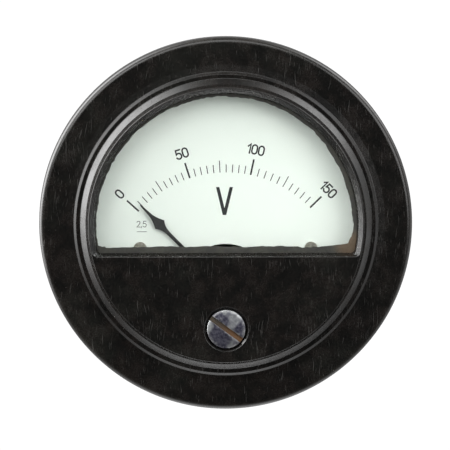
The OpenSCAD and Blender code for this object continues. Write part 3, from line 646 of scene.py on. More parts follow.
def glazing_cement():
    """Hand-laid cement: dark grey and olive, crumbly, browner at one lower corner."""
    made = Finish("cement", roughness=0.8)
    cloud, grit = made.mottle(0.45, 0.35, 0.65), made.mottle(3.2, 0.35, 0.7)
    corner = get(made.tree, "ShaderNodeVectorMath", {0: made.spot, 1: (28.0, -7.2, -4.6)}, "Value",
                 operation="DISTANCE")
    made.ground(cloud, (0.008, 0.008, 0.007), (0.026, 0.026, 0.019))
    made.layer(grit * 0.45, (0.045, 0.045, 0.034))
    made.layer((1.0 - step_up(corner, 1.6, 4.2)) * 0.8, (0.085, 0.055, 0.028))
    return made.close(mix_value(grit, 0.55, 0.9), noise_value(made.spot, 2.2, 6.0, 0.65), 0.8, 0.15)


def dial_face():
    """White printed face, slightly green, a little stained towards its lower edge."""
    made = Finish("dial_white", roughness=0.5)
    cloud, stain = made.mottle(0.06, 0.3, 0.7), made.mottle(0.25, 0.52, 0.8)
    low_down = 1.0 - step_up(split(made.spot)[2], -7.0, -2.0)
    made.ground(cloud, (0.800, 0.850, 0.800), (0.820, 0.865, 0.815))
    made.layer(stain * low_down * 0.35, (0.62, 0.62, 0.48))
    made.layer(made.mask(DUST, amount=0.05) * 0.35, (0.35, 0.33, 0.28))
    return made.close(mix_value(cloud, 0.46, 0.56), noise_value(made.spot, 2.0, 1.5), 0.05, 0.01)


def printers_ink():
    """Matt black printing ink, slightly uneven."""
    made = Finish("printing_ink", roughness=0.6)
    cloud = made.mottle(4.0, 0.3, 0.75)
    made.ground(cloud, (0.003, 0.003, 0.004), (0.010, 0.011, 0.011))
    return made.close(mix_value(cloud, 0.5, 0.7), cloud, 0.1, 0.004)


def black_lacquer():
    """Matt black lacquer on sheet aluminium, rubbed through a little at the edges."""
    made = Finish("black_lacquer")
    cloud = made.mottle(1.5, 0.3, 0.7)
    made.ground(cloud, (0.006, 0.006, 0.007), (0.012, 0.012, 0.012))
    made.layer(made.mask(WEAR, amount=0.35) * 0.3, (0.10, 0.10, 0.10))
    return made.close(mix_value(cloud, 0.42, 0.55), noise_value(made.spot, 8.0), 0.2, 0.01)


def worked_metal(name, clean, dull, rough=(0.25, 0.42), tarnish=0.5):
    """Machined metal: a turned or rolled grain, dull patches, bright rubbed edges."""
    made = Finish(name, metallic=1.0)
    cloud = made.mottle(0.7, 0.55 - 0.3 * tarnish, 0.85 - 0.2 * tarnish)
    grain = noise_value(laid(made.spot, scale=(4.8, 0.2, 4.8)), 1.0, 4.0, 0.7)
    made.ground(cloud * 0.85, clean, dull)
    made.layer(grain * 0.25, dull)
    made.layer(made.mask(WEAR, amount=0.55) * 0.5, clean)
    return made.close(grain * 0.12 + mix_value(cloud, *rough), grain, 0.25, 0.01)


def tarnished_head():
    """Plated steel head: bright patches, blue-black tarnish, rust down in the slot."""
    made = Finish("tarnished_steel")
    spot = made.spot
    along, _, across = split(laid(laid(spot, location=(0.0, 0.0, -ADJUSTER_Z)), rotation=(0.0, -SLOT_TURN, 0.0)))
    in_slot = 1.0 - step_up(across.step("ABSOLUTE"), SLOT_W / 2 - 0.03, SLOT_W / 2 + 0.05)
    rusty = step_up(along + noise_value(spot, 1.3, 3.0) * 1.5, -1.8, 2.6)
    bright = step_up(noise_value(laid(spot, location=(3.1, 0.0, 1.7)), 0.30, 2.0, 0.45), 0.44, 0.64)
    speckle = made.mottle(1.8, 0.35, 0.7)
    made.ground(bright, (0.032, 0.031, 0.052), (0.48, 0.50, 0.50))
    made.layer(speckle * 0.5, (0.14, 0.14, 0.17))
    made.layer(made.mask(WEAR, amount=0.5) * 0.6, (0.55, 0.55, 0.53))
    rust = blend_colour(rusty, (0.055, 0.047, 0.036), (0.155, 0.080, 0.036))
    made.layer(in_slot, blend_colour(speckle * 0.5, rust, (0.08, 0.05, 0.025)))
    made.wire("Metallic", mix_value(in_slot, 0.85, 0.1))
    rough = mix_value(in_slot, speckle * 0.15 + mix_value(bright, 0.42, 0.30), 0.85)
    return made.close(rough, noise_value(spot, 2.6, 4.0) + speckle * 0.4, 0.35, 0.06)


def glazed_ceramic():
    """Cream ceramic with a thin glaze."""
    made = Finish("ceramic", coat_weight=0.3)
    cloud = made.mottle(0.5, 0.3, 0.75)
    made.ground(cloud, (0.70, 0.63, 0.48), (0.60, 0.52, 0.37))
    made.layer(made.mask(DUST, amount=0.15) * 0.6, (0.20, 0.15, 0.10))
    return made.close(mix_value(cloud, 0.3, 0.5), noise_value(made.spot, 1.5, 4.0), 0.2, 0.05)


def wound_wire(name, bright, dark, metallic):
    """Enamelled or varnished wire, turn by turn."""
    made = Finish(name, metallic=metallic, coat_weight=0.4)
    cloud = made.mottle(1.1, 0.3, 0.7)
    made.ground(cloud, bright, dark)
    return made.close(mix_value(cloud, 0.28, 0.45), noise_value(made.spot, 6.0), 0.15, 0.02)


def braided_cotton():
    """Red cotton sleeve on the leads: a fine diagonal braid."""
    made = Finish("wire_sleeve")
    strand, cross = (get(made.tree, "ShaderNodeTexWave", {
        "Vector": laid(made.spot, rotation=(lean, 0.4, lean)), "Scale": 1.4, "Distortion": 0.6}, "Fac")
        for lean in (0.8, -0.8))
    braid = strand * cross
    made.ground(made.mottle(0.4, 0.3, 0.7), (0.30, 0.025, 0.015), (0.18, 0.015, 0.010))
    made.layer(braid * 0.5, (0.40, 0.07, 0.04))
    return made.close(mix_value(braid, 0.9, 0.7), braid, 0.6, 0.08)


FINISH = {
    "phenolic": phenolic(),
    "window_glass": clear_glass(),
    "cement": glazing_cement(),
    "tarnished_steel": tarnished_head(),
    "nickel": worked_metal("nickel", (0.58, 0.56, 0.50), (0.20, 0.19, 0.15), (0.26, 0.5), 0.7),
    "brass": worked_metal("brass", (0.60, 0.43, 0.18), (0.22, 0.14, 0.06), (0.25, 0.5), 0.6),
    "dial_white": dial_face(),
    "black_aluminium": black_lacquer(),
    "aluminium": worked_metal("aluminium", (0.74, 0.75, 0.76), (0.50, 0.51, 0.52), tarnish=0.3),
    "copper_winding": wound_wire("enamelled_copper", (0.55, 0.18, 0.07), (0.32, 0.09, 0.03), 0.8),
    "spring_bronze": worked_metal("spring_bronze", (0.72, 0.50, 0.25), (0.45, 0.28, 0.12), (0.2, 0.3)),
    "soft_iron": worked_metal("soft_iron", (0.30, 0.30, 0.31), (0.13, 0.12, 0.12), (0.35, 0.55), 0.8),
    "magnet_steel": worked_metal("magnet_steel", (0.14, 0.12, 0.11), (0.05, 0.042, 0.036), (0.45, 0.65)),
    "base_metal": worked_metal("base_metal", (0.40, 0.36, 0.22), (0.16, 0.14, 0.08), (0.35, 0.55), 0.8),
    "ceramic": glazed_ceramic(),
    "resistance_wire": wound_wire("varnished_wire", (0.30, 0.07, 0.04), (0.14, 0.03, 0.02), 0.2),
    "wire_sleeve": braided_cotton(),
    "printing_ink": printers_ink(),
}


def dress_nodes():
    """Give every CAD node the finish of its material slot."""
    for part in frame["record"]["subparts"]:
        for holder in frame["nodes"].get(part["node"]).material_slots:
            holder.material = FINISH[part["material_slot"]]


# ---------------------------------------------------------------- front cover and window

def d_loop(r, edge, corner, crown=160, bend=10, base=60):
    """D outline of (x, z): an arc about the case centre, a straight lower edge and rounded corners."""
    cx = math.sqrt((r - corner) ** 2 - (edge + corner) ** 2)
    cz = edge + corner
    lean, quarter = math.atan2(cz, cx), math.pi / 2
    loop = arc((cx, cz), corner, -quarter, lean + quarter, bend)
    loop += arc((0, 0), r, lean, math.pi - 2 * lean, crown)
    loop += arc((-cx, cz), corner, math.pi - lean, lean + quarter, bend)
    return loop + [(-cx + 2 * cx * k / base, edge) for k in range(base)]


def edge_run(radius, lean, depth=None):
    """How far a rounded edge has moved inwards at a depth, where the wall below it leans in by lean per depth.

    With no depth, it is how far the sharp edge stands back from where the rounding starts.
    """
    turn = math.atan2(1.0, lean)
    side, drop = radius * math.sin(turn), radius * (1 - math.cos(turn))
    if depth is None:
        return side - drop * lean
    if depth >= drop:
        return side + (depth - drop) * lean
    return math.sqrt(max(0.0, radius ** 2 - (radius - depth) ** 2))


def window_ring(depth, grow_by=0.0):
    """Outline of the window at a depth behind the front face."""
    arc_round, edge_round = WINDOW_ARC_ROUND, WINDOW_EDGE_ROUND
    edge_lean = (GLASS_WINDOW_EDGE - WINDOW_EDGE) / WALL
    if depth <= WINDOW_LEAN_Y:
        r = WINDOW_R + edge_run(arc_round, WINDOW_LEAN) - edge_run(arc_round, WINDOW_LEAN, depth)
    else:
        back = (depth - WINDOW_LEAN_Y) / (WALL - WINDOW_LEAN_Y)
        r = WINDOW_R - WINDOW_STEP - back * (WINDOW_R - WINDOW_STEP - GLASS_WINDOW_R)
    edge = WINDOW_EDGE - edge_run(edge_round, edge_lean) + edge_run(edge_round, edge_lean, depth)
    corner = WINDOW_CORNER - (WINDOW_CORNER - GLASS_CORNER) * depth / WALL
    return d_loop(r + grow_by, edge - grow_by, corner + grow_by)


def add_window(bm):
    """Window wall from the front face back to the glass."""
    depths = [0.0] + [WINDOW_EDGE_ROUND * (1 - math.cos(math.pi / 2 * k / 7)) for k in range(1, 8)]
    depths += [0.4, 0.7, 0.98, 1.04, WINDOW_LEAN_Y, 1.16, 1.22, 1.6, 2.1, 2.55, WALL]
    rings = [(FRONT_Y, window_ring(0.0, OPENING_GROWTH))] + [(FRONT_Y + d, window_ring(d)) for d in depths]
    add_loft(bm, [[(x, y, z) for x, z in ring] for y, ring in rings])


def make_cover():
    """Front cover: turned flange, step and boss, with the window and the adjuster's recess in its face."""
    bm = bmesh.new()
    add_turned(bm, rounded([
        (FLAT_R, FRONT_Y, 0), (CREST_R, FRONT_Y, CREST_ROUND), (WALL_FOOT_R, WALL_FOOT_Y, 0.8),
        (BOSS_R, TIER_Y, 0.25), (TIER_R, TIER_Y, 0.12), (TIER_EDGE_R, TIER_EDGE_Y, 0.3),
        (TIER_FOOT_R, FLANGE_Y, 1.2), (FLANGE_R, FLANGE_Y, 1.25), (FLANGE_R, 0.0, 0.12),
        (LIP_SEAT_R, 0.0, 0.1), (LIP_SEAT_R, LIP_FRONT, 0.1), (CAVITY_R, LIP_FRONT, 0.1),
        (CAVITY_R, INNER_Y, 0)], guard=0.015), "phenolic")
    at = (0, ADJUSTER_Z)
    add_turned(bm, rounded([
        (RECESS_EDGE_R, FRONT_Y, 0), (RECESS_LIP_R, FRONT_Y, 0.12), (RECESS_R, FRONT_Y + 0.42, 0.1),
        (RECESS_R, ADJUSTER_FLOOR, 0.1), (SHANK_HOLE_R, ADJUSTER_FLOOR, 0.05), (SHANK_HOLE_R, INNER_Y, 0)],
        guard=0.01), "phenolic", RECESS_AROUND, at)
    add_window(bm)
    add_flat(bm, FRONT_Y, [circle(FLAT_R), window_ring(0.0, OPENING_GROWTH),
                           circle(RECESS_EDGE_R, RECESS_AROUND, at)])
    add_flat(bm, INNER_Y, [circle(CAVITY_R), window_ring(WALL), circle(SHANK_HOLE_R, RECESS_AROUND, at)])
    weld(bm)
    piece("cover_moulding", bm, "meter", "phenolic", ["front_cover"])


def uneven(at, pitch, layer):
    """Smooth unevenness, -1 to 1, at a flat point."""
    return noise.noise(Vector((at.x * pitch, at.y * pitch, layer)))


def make_cement():
    """Glazing cement: an uneven bead from the window wall down onto the glass."""
    bm = bmesh.new()
    skin_y = INNER_Y - 0.004
    tuck, reach = 0.03, 2.0
    outer = d_loop(GLASS_WINDOW_R + tuck, GLASS_WINDOW_EDGE - tuck, GLASS_CORNER)
    inner = d_loop(GLASS_WINDOW_R - reach, GLASS_WINDOW_EDGE + reach, 0.75)
    bead, bead_sway, foot_bead = 0.74, 0.30, 1.45
    blob, blob_reach = Vector((28.6, -5.6)), 3.4
    rows = [[] for _ in range(7)]
    for a, b in zip(map(Vector, outer), map(Vector, inner)):
        lumps, ripple, crumbs = uneven(a, 0.16, 3.7), uneven(a, 0.75, 9.1), uneven(a, 2.6, 1.3)
        straight = min(1.0, max(0.0, (GLASS_WINDOW_EDGE + 1.5 - a.y) / 1.4))
        curved = bead + bead_sway * math.cos(math.atan2(a.y, a.x) + math.radians(20))
        laid_width = curved + (foot_bead - curved) * straight
        heap = 0.35 * max(0.0, 1 - (a - blob).length / blob_reach)
        width = laid_width / reach + 0.16 * lumps + 0.12 * ripple + 0.05 * crumbs + heap
        foot = a.lerp(b, min(0.98, max(0.12, width)))
        rise = (0.30 + 0.10 * ripple + 0.05 * crumbs) * (1 - 0.25 * straight)
        shape = ((0, 0), (0, 1), (0.30, 0.88), (0.60, 0.62), (0.85, 0.30), (0.98, 0.07), (1, 0))
        for row, (share, height) in zip(rows, shape):
            spot = a.lerp(foot, share)
            row.append((spot.x, skin_y - rise * height, spot.y))
    add_loft(bm, rows + [rows[0]])
    weld(bm, 0.0001)
    piece("cement_bead", bm, "meter", "cement", ["glass_cement"], smooth=60)


# ---------------------------------------------------------------- adjuster, dial print and pointer

def slotted_head_tree():
    """Tree that cuts a screwdriver slot across a turned head and sets the head at every point it is given."""
    tree, given, end = geometry_tree("slotted_heads", {
        "Head": "NodeSocketObject", "Slot Width": 1.0, "Slot Length": 10.0, "Slot Front": 0.0,
        "Slot Back": 1.0, "Slot Turn": 0.0, "Spread": 0.0, "Seed": 4})
    front, back = given["Slot Front"], given["Slot Back"]
    size = join(tree, given["Slot Length"], back - front, given["Slot Width"])
    bar = moved(get(tree, "GeometryNodeMeshCube", {"Size": size}), join(tree, y=(back + front) * 0.5),
                join(tree, y=given["Slot Turn"]))
    head = get(tree, "GeometryNodeObjectInfo", {"Object": given["Head"]}, "Geometry")
    cut = get(tree, "GeometryNodeMeshBoolean", {0: head, 1: bar}, operation="DIFFERENCE")
    chance = put(tree, "FunctionNodeRandomValue", {"Seed": given["Seed"]}, data_type="FLOAT")
    tree.links.new(given["Spread"].socket, chance.inputs[pick(chance.inputs, "VALUE", "Max")])
    spun = join(tree, y=Flow(tree, chance.outputs[pick(chance.outputs, "VALUE")]))
    return close_geometry(given, end, set_out(given["Geometry"], cut, rotation=spun))


SLOTTED = slotted_head_tree()


def slotted_heads(places, profile, slot, width, front, back, turn=0.0, spread=0.0, count=64, soften=0.04):
    """Slotted heads turned from a profile, one at each place, with their edges rounded off."""
    model = turned_model(profile, slot, count)
    bm = bmesh.new()
    take_in(bm, grow(SLOTTED, places, slot, {
        "Head": model, "Slot Width": width, "Slot Length": 4.0 * max(p[0] for p in profile),
        "Slot Front": front, "Slot Back": back, "Slot Turn": turn, "Spread": spread}))
    bpy.data.objects.remove(model)
    bmesh.ops.remove_doubles(bm, verts=bm.verts, dist=0.0005)
    bmesh.ops.dissolve_limit(bm, angle_limit=math.radians(0.5), verts=bm.verts, edges=bm.edges)
    sharp = [e for e in bm.edges if len(e.link_faces) == 2 and e.calc_face_angle(0) > math.radians(30)]
    bmesh.ops.bevel(bm, geom=sharp, offset=soften, segments=2, affect="EDGES", profile=0.5, clamp_overlap=True)
    bmesh.ops.triangulate(bm, faces=[f for f in bm.faces if len(f.verts) > 4])
    return bm


def make_adjuster():
    """Slotted zero adjuster: a low dome with a worn rim and a screwdriver slot, on its shank."""
    reaches = [(ADJUSTER_R - 0.18) * k / 8 for k in range(9)]
    dome = [(r, FRONT_Y - ADJUSTER_DOME * (1 - (r / ADJUSTER_R) ** 2)) for r in reaches]
    rim = [(ADJUSTER_R - back, FRONT_Y + y) for back, y in ((0.07, 0.02), (0.015, 0.08), (0.0, 0.16))]
    under, shank_end = ADJUSTER_FLOOR - 0.05, -6.5
    rest = [(ADJUSTER_R, under - 0.05), (ADJUSTER_R - 0.05, under), (SHANK_R, under), (SHANK_R, shank_end),
            (0.0, shank_end)]
    bm = slotted_heads([(0, 0, ADJUSTER_Z)], dome + rim + rest, "tarnished_steel", SLOT_W, FRONT_Y - 1.0,
                       SLOT_FLOOR, turn=SLOT_TURN, count=96, soften=0.05)
    piece("zero_adjuster_head", bm, "zero_adjuster", "tarnished_steel", ["zero_screw"], smooth=30)


def tick_tree():
    """Tree that prints the scale: a bar for every 5 V, longer at 25 V and longest at 50 V."""
    tree, given, end = geometry_tree("scale_ticks", {
        "Count": 31, "Start Angle": FIRST_TICK, "Low Step": LOW_STEP, "High Step": HIGH_STEP,
        "Step Change": float(STEP_CHANGE), "Foot Radius": TICK_FOOT, "Short": 1.83, "Medium": 2.74,
        "Long": 3.65, "Thin": 0.20, "Thick": 0.40, "Front": DIAL_Y - INK / 2, "Depth": INK, "Pivot Z": PIVOT_Z})
    index = get(tree, "GeometryNodeInputIndex")
    low = index.step("MINIMUM", given["Step Change"])
    high = (index - given["Step Change"]).step("MAXIMUM", 0.0)
    angle = high * given["High Step"] + (low * given["Low Step"] + given["Start Angle"])
    by_five, by_ten = (index.step("MODULO", n).step("LESS_THAN", 0.5) for n in (5.0, 10.0))
    length = by_five * (given["Medium"] - given["Short"]) + given["Short"]
    length = by_ten * (given["Long"] - given["Medium"]) + length
    width = by_ten * (given["Thick"] - given["Thin"]) + given["Thin"]
    reach = length * 0.5 + given["Foot Radius"]
    place = join(tree, angle.step("SINE") * reach, given["Front"],
                 angle.step("COSINE") * reach + given["Pivot Z"])
    line = get(tree, "GeometryNodeMeshLine", {"Count": given["Count"]})
    points = get(tree, "GeometryNodeSetPosition", {"Geometry": line, "Position": place})
    bar = get(tree, "GeometryNodeMeshCube", {"Size": (1.0, 1.0, 1.0)})
    bars = set_out(points, bar, rotation=join(tree, y=angle), scale=join(tree, width, given["Depth"], length))
    return close_geometry(given, end, bars)


def bow(cx, cz, rx, rz, start, stop, steps=10):
    """Points along part of an ellipse, angles in degrees."""
    turns = [math.radians(start + (stop - start) * k / steps) for k in range(steps + 1)]
    return [(cx + rx * math.cos(t), cz + rz * math.sin(t)) for t in turns]


# Each digit's width, its stroke in parts of its height, and whether the stroke is closed
DIGITS = {
    "0": (0.56, bow(0.28, 0.70, 0.28, 0.30, 0, 180) + bow(0.28, 0.30, 0.28, 0.30, 180, 360), True),
    "1": (0.26, [(0.0, 0.74), (0.24, 1.0), (0.24, 0.0)], False),
    "2": (0.54, bow(0.27, 0.73, 0.27, 0.27, 165, -35, 12) + [(0.0, 0.0), (0.55, 0.0)], False),
    "5": (0.56, [(0.52, 1.0), (0.07, 1.0), (0.03, 0.54)] + bow(0.26, 0.32, 0.30, 0.32, 118, -152, 14), False),
    ",": (0.12, [(0.08, 0.08), (0.0, -0.16)], False),
}
DIGIT_GAP = 0.20


def add_ribbon(bm, path, width, closed=False):
    """Flat printed stroke of even width along a path of (x, z)."""
    front, back = DIAL_Y - INK, DIAL_Y
    points = [Vector(p) for p in path]
    points = [p for k, p in enumerate(points) if (p - points[k - 1]).length > 1e-4 or (k == 0 and not closed)]
    last = len(points) - 1
    sides = []
    for k, here in enumerate(points):
        back_way = here - points[k - 1] if k or closed else points[1] - here
        on_way = points[(k + 1) % len(points)] - here if k < last or closed else here - points[k - 1]
        way = (back_way.normalized() + on_way.normalized()).normalized()
        stretch = 1 / max(0.5, abs(way.dot(on_way.normalized())))
        if not closed and k in (0, last):
            here = here + way * (width / 2) * (-1 if k == 0 else 1)
        half = Vector((-way.y, way.x)) * (width / 2 * stretch)
        sides.append([bm.verts.new((p.x, y, p.y)) for p, y in (
            (here + half, front), (here - half, front), (here - half, back), (here + half, back))])
    add_faces(bm, sides + sides[:1] if closed else sides)
    if not closed:
        bm.faces.new(sides[0][::-1])
        bm.faces.new(sides[-1])


def add_numeral(bm, text, centre, turn, height, stroke):
    """Print a numeral centred on a point of the dial and turned with the scale."""
    pen = -(sum(DIGITS[c][0] for c in text) + DIGIT_GAP * (len(text) - 1)) / 2
    cos, sin = math.cos(turn), math.sin(turn)
    for advance, path, closed in (DIGITS[c] for c in text):
        own = [((pen + u) * height, (v - 0.5) * height) for u, v in path]
        add_ribbon(bm, [(centre[0] + x * cos + z * sin, centre[1] - x * sin + z * cos) for x, z in own],
                   stroke, closed)
        pen += advance + DIGIT_GAP


def make_scale_print():
    """Everything printed on the dial: ticks, numerals, the unit and the accuracy class."""
    bm = bmesh.new()
    take_in(bm, grow(tick_tree(), [(0, 0, 0)], "printing_ink", {}))
    for volts in (0, 50, 100, 150):
        steps = volts / 5
        angle = FIRST_TICK + LOW_STEP * min(steps, STEP_CHANGE) + HIGH_STEP * max(steps - STEP_CHANGE, 0)
        spot = (NUMERAL_R * math.sin(angle), PIVOT_Z + NUMERAL_R * math.cos(angle))
        add_numeral(bm, str(volts), spot, angle, NUMERAL_H, 0.36)
    add_prism(bm, UNIT_MARK, DIAL_Y - INK, DIAL_Y)
    add_numeral(bm, "2,5", (-19.25, -0.55), 0.0, 1.32, 0.14)
    add_ribbon(bm, [(-20.25, -2.3), (-18.15, -2.3)], 0.12)
    bmesh.ops.translate(bm, vec=PRINT_SHIFT, verts=bm.verts)
    bmesh.ops.recalc_face_normals(bm, faces=bm.faces)
    piece("scale_print", bm, "meter", "black_aluminium", finish="printing_ink")


# Reaches from the pivot along the lance, and half widths: the arm's end, the widest point, the needle, the tip
ARM_END, WIDEST, NEEDLE, TIP = 17.6, 21.3, 24.9, 27.6
ARM_HALF, WIDEST_HALF, NEEDLE_HALF, TIP_HALF = 0.40, 1.43, 0.33, 0.15


def lance_half(reach):
    """Half width of the pointer at a distance from the pivot."""
    if reach > NEEDLE:
        return TIP_HALF + (NEEDLE_HALF - TIP_HALF) * max(0.0, (TIP - reach) / (TIP - NEEDLE))
    if reach > WIDEST:
        return NEEDLE_HALF + (WIDEST_HALF - NEEDLE_HALF) * ((NEEDLE - reach) / (NEEDLE - WIDEST)) ** 1.8
    if reach > ARM_END:
        return ARM_HALF + (WIDEST_HALF - ARM_HALF) * ((reach - ARM_END) / (WIDEST - ARM_END)) ** 3.0
    return ARM_HALF


def make_pointer():
    """Black lance pointer with hollow-ground shoulders, on a ring hub."""
    front, back, soften = -2.2, -1.9, 0.05
    hub_bore, hub_r = 0.73, 1.9
    stations = [1.2, 6.0, 12.0, 17.5] + [ARM_END + (WIDEST - ARM_END) * k / 12 for k in range(1, 12)]
    stations += [WIDEST - 0.04, WIDEST, WIDEST + 0.04]
    stations += [WIDEST + (NEEDLE - WIDEST) * k / 14 for k in range(1, 14)]
    stations += [NEEDLE + (TIP - NEEDLE) * k / 6 for k in range(7)]
    turn = Matrix.Rotation(REST_ANGLE, 4, "Y")
    bm = bmesh.new()
    rows = []
    for reach in stations:
        wide = lance_half(reach)
        near = wide - soften
        section = [(-wide, front + soften), (-near, front), (near, front), (wide, front + soften),
                   (wide, back - soften), (near, back), (-near, back), (-wide, back - soften)]
        rows.append([bm.verts.new(turn @ Vector((x, y, reach))) for x, y in section])
    add_faces(bm, rows)
    bm.faces.new(rows[0])
    bm.faces.new(rows[-1])
    hub = rounded([(hub_bore, front, 0.04), (hub_r, front, 0.06), (hub_r, back, 0.06), (hub_bore, back, 0.04)],
                  2, 0.01)
    add_turned(bm, hub + [hub[0]], "black_aluminium", 48)
    bmesh.ops.remove_doubles(bm, verts=bm.verts, dist=0.0005)
    bmesh.ops.recalc_face_normals(bm, faces=bm.faces)
    bmesh.ops.translate(bm, vec=(0, 0, PIVOT_Z), verts=bm.verts)
    piece("lance_pointer", bm, "moving_coil", "black_aluminium", ["pointer"], smooth=32)


# ---------------------------------------------------------------- rear case and fixings

def bolt_circle(r, first, count):
    """Places (x, z) evenly round a circle, from a first angle in degrees."""
    return arc((0, 0), r, math.radians(first), math.tau, count)


LIP_SCREWS = bolt_circle(34.7, 45, 4)
STUDS = bolt_circle(39.45, 90, 3)


def make_rear_case():
    """Rear moulding: barrel, fixing lip, rear wall with countersinks and raised polarity marks."""
    bm = bmesh.new()
    face_r, count = 31.3, 48
    lip_in, lip_out = BARREL_R + 0.2, LIP_R - 0.2
    add_turned(bm, rounded([
        (face_r, BARREL_BACK, 0), (BARREL_R, BARREL_BACK, 1.5), (BARREL_R, LIP_BACK, 0.12),
        (lip_in, LIP_BACK, 0)], guard=0.02), "phenolic")
    add_turned(bm, rounded([
        (lip_out, LIP_BACK, 0), (LIP_R, LIP_BACK, 0.12), (LIP_R, LIP_FRONT, 0.12), (BARREL_BORE, LIP_FRONT, 0.1),
        (BARREL_BORE, BARREL_FLOOR, 0.4), (0.0, BARREL_FLOOR, 0)], guard=0.02), "phenolic")
    for places, y, head, shank, floor in ((LIP_SCREWS, LIP_BACK, 1.6, 0.95, 1.2),
                                          (REAR_SCREWS, BARREL_BACK, 2.45, 1.65, 1.6)):
        sunk = rounded([(head + 0.1, y, 0), (head, y, 0.06), (shank, y - head + shank, 0),
                        (shank, y - floor, 0), (0.0, y - floor, 0)], 3, 0.01)
        for at in places:
            add_turned(bm, sunk, "phenolic", count, at)
    add_flat(bm, LIP_BACK, [circle(lip_out), circle(lip_in)] + [circle(1.7, count, at) for at in LIP_SCREWS])
    add_flat(bm, BARREL_BACK, [circle(face_r)] + [circle(2.55, count, at) for at in REAR_SCREWS])
    weld(bm)
    minus, plus = (place[0] for place in TERMINALS)
    long, short = MARK_HALF_LENGTH, MARK_HALF_WIDTH
    for middle_x, half_x, half_z in ((minus, long, short), (plus, long, short), (plus, short, long)):
        add_block(bm, (middle_x - half_x, BARREL_BACK - 0.1, MARK_Z - half_z),
                  (middle_x + half_x, BARREL_BACK + 0.35, MARK_Z + half_z), 0.1)
    piece("rear_moulding", bm, "meter", "phenolic", ["rear_case"])


def make_case_screws():
    """Countersunk slotted screws: four through the lip and three through the rear wall."""
    for name, node, places, y, head, shank, length, slot in (
            ("lip_screws", "case_screws", LIP_SCREWS, LIP_BACK - 0.05, 1.45, 0.8, 3.6, 0.45),
            ("rear_screws", "rear_wall_screws", REAR_SCREWS, BARREL_BACK - 0.05, 2.3, 1.5, 5.95, 0.7)):
        profile = rounded([(0.0, y, 0), (head, y, 0.05), (shank, y - head + shank, 0), (shank, y - length, 0.1),
                           (0.0, y - length, 0)], 2, 0.01)
        bm = slotted_heads([(x, 0, z) for x, z in places], profile, "nickel", slot, y - 0.45, y + 1.0,
                           turn=0.3, spread=0.6, count=48, soften=0.03)
        piece(name, bm, "meter", "nickel", [node], smooth=30)


def thread_tree():
    """Tree that winds a screw thread: rows follow the helix, so each crest is one clean line."""
    tree, given, end = geometry_tree("wound_thread", {
        "Segments": 32, "Steps": 6, "Crest Radius": 2.5, "Depth": 0.4, "Pitch": 0.8, "Front": 0.0,
        "Back": 10.0, "Chamfer": 0.5})
    front, back, crest, steps = given["Front"], given["Back"], given["Crest Radius"], given["Steps"]
    last_row = (((back - front) / given["Pitch"]).step("CEIL") + 2.0) * steps
    sheet, share, row = unit_sheet(tree, given["Segments"], last_row)
    y = (row / steps + (share - 1.5)) * given["Pitch"] + front
    y = y.step("MAXIMUM", front).step("MINIMUM", back)
    r = (row / steps).step("PINGPONG", 0.5) * 2.0 * given["Depth"] + (crest - given["Depth"])
    r = r.step("MINIMUM", (crest - given["Chamfer"]) + (y - front).step("MINIMUM", back - y))
    middle = row.step("GREATER_THAN", 0.5) * row.step("LESS_THAN", last_row - 0.5)
    wound = bend_round(sheet, share, r * middle, y, 0.0, 0.0, 0.002)
    return close_geometry(given, end, set_out(given["Geometry"], wound))


THREAD = thread_tree()


def add_thread(bm, places, **values):
    """Wind a thread at each place (x, 0, z)."""
    take_in(bm, grow(THREAD, places, "brass", titled(values)))


def make_studs():
    """Threaded mounting studs in the flange, each with its moulded-in collar."""
    bm = bmesh.new()
    add_thread(bm, [(x, 0, z) for x, z in STUDS], segments=24, crest_radius=1.5, depth=0.27, pitch=0.5,
               back=STUD_LENGTH, chamfer=0.35)
    collar = rounded([(0.0, COLLAR_FRONT, 0), (COLLAR_R, COLLAR_FRONT, 0.1), (COLLAR_R, 0.0, 0.05),
                      (0.0, 0.0, 0)], 2, 0.01)
    for at in STUDS:
        add_turned(bm, collar, "brass", 32, at)
    weld(bm, 0.0003)
    piece("threaded_studs", bm, "meter", "brass", ["mounting_studs"], smooth=25)


def make_terminals():
    """Threaded terminal studs, necked between their inner and outer threads."""
    bm = bmesh.new()
    for front, back, chamfer in THREADS:
        add_thread(bm, TERMINALS, depth=0.43, front=front, back=back, chamfer=chamfer)
    neck = [(0.0, NECK_FRONT), (NECK_R, NECK_FRONT), (NECK_R, NECK_BACK), (0.0, NECK_BACK)]
    for x, _, z in TERMINALS:
        add_turned(bm, neck, "brass", 32, (x, z))
    weld(bm, 0.0003)
    piece("threaded_terminals", bm, "meter", "brass", ["terminal_studs"], smooth=25)


def nut_tree():
    """Tree that cuts a turned and bored blank to a hexagon and sets it at every point it is given."""
    tree, given, end = geometry_tree("hexagon_nuts", {
        "Blank": "NodeSocketObject", "Across Flats": NUT_FLATS, "Thickness": NUT_BACK - NUT_FRONT,
        "Middle": (NUT_FRONT + NUT_BACK) / 2, "Turn": 0.0})
    bar = get(tree, "GeometryNodeMeshCylinder", {
        "Vertices": 6, "Radius": given["Across Flats"] / math.sqrt(3), "Depth": given["Thickness"] + 2.0})
    bar = moved(bar, join(tree, y=given["Middle"]), (math.pi / 2, 0.0, 0.0))
    blank = get(tree, "GeometryNodeObjectInfo", {"Object": given["Blank"]}, "Geometry")
    shaped = put(tree, "GeometryNodeMeshBoolean", {1: bar}, operation="INTERSECT")
    tree.links.new(blank.socket, shaped.inputs[1])
    nuts = set_out(given["Geometry"], Flow(tree, shaped.outputs[0]), rotation=join(tree, y=given["Turn"]))
    return close_geometry(given, end, nuts)


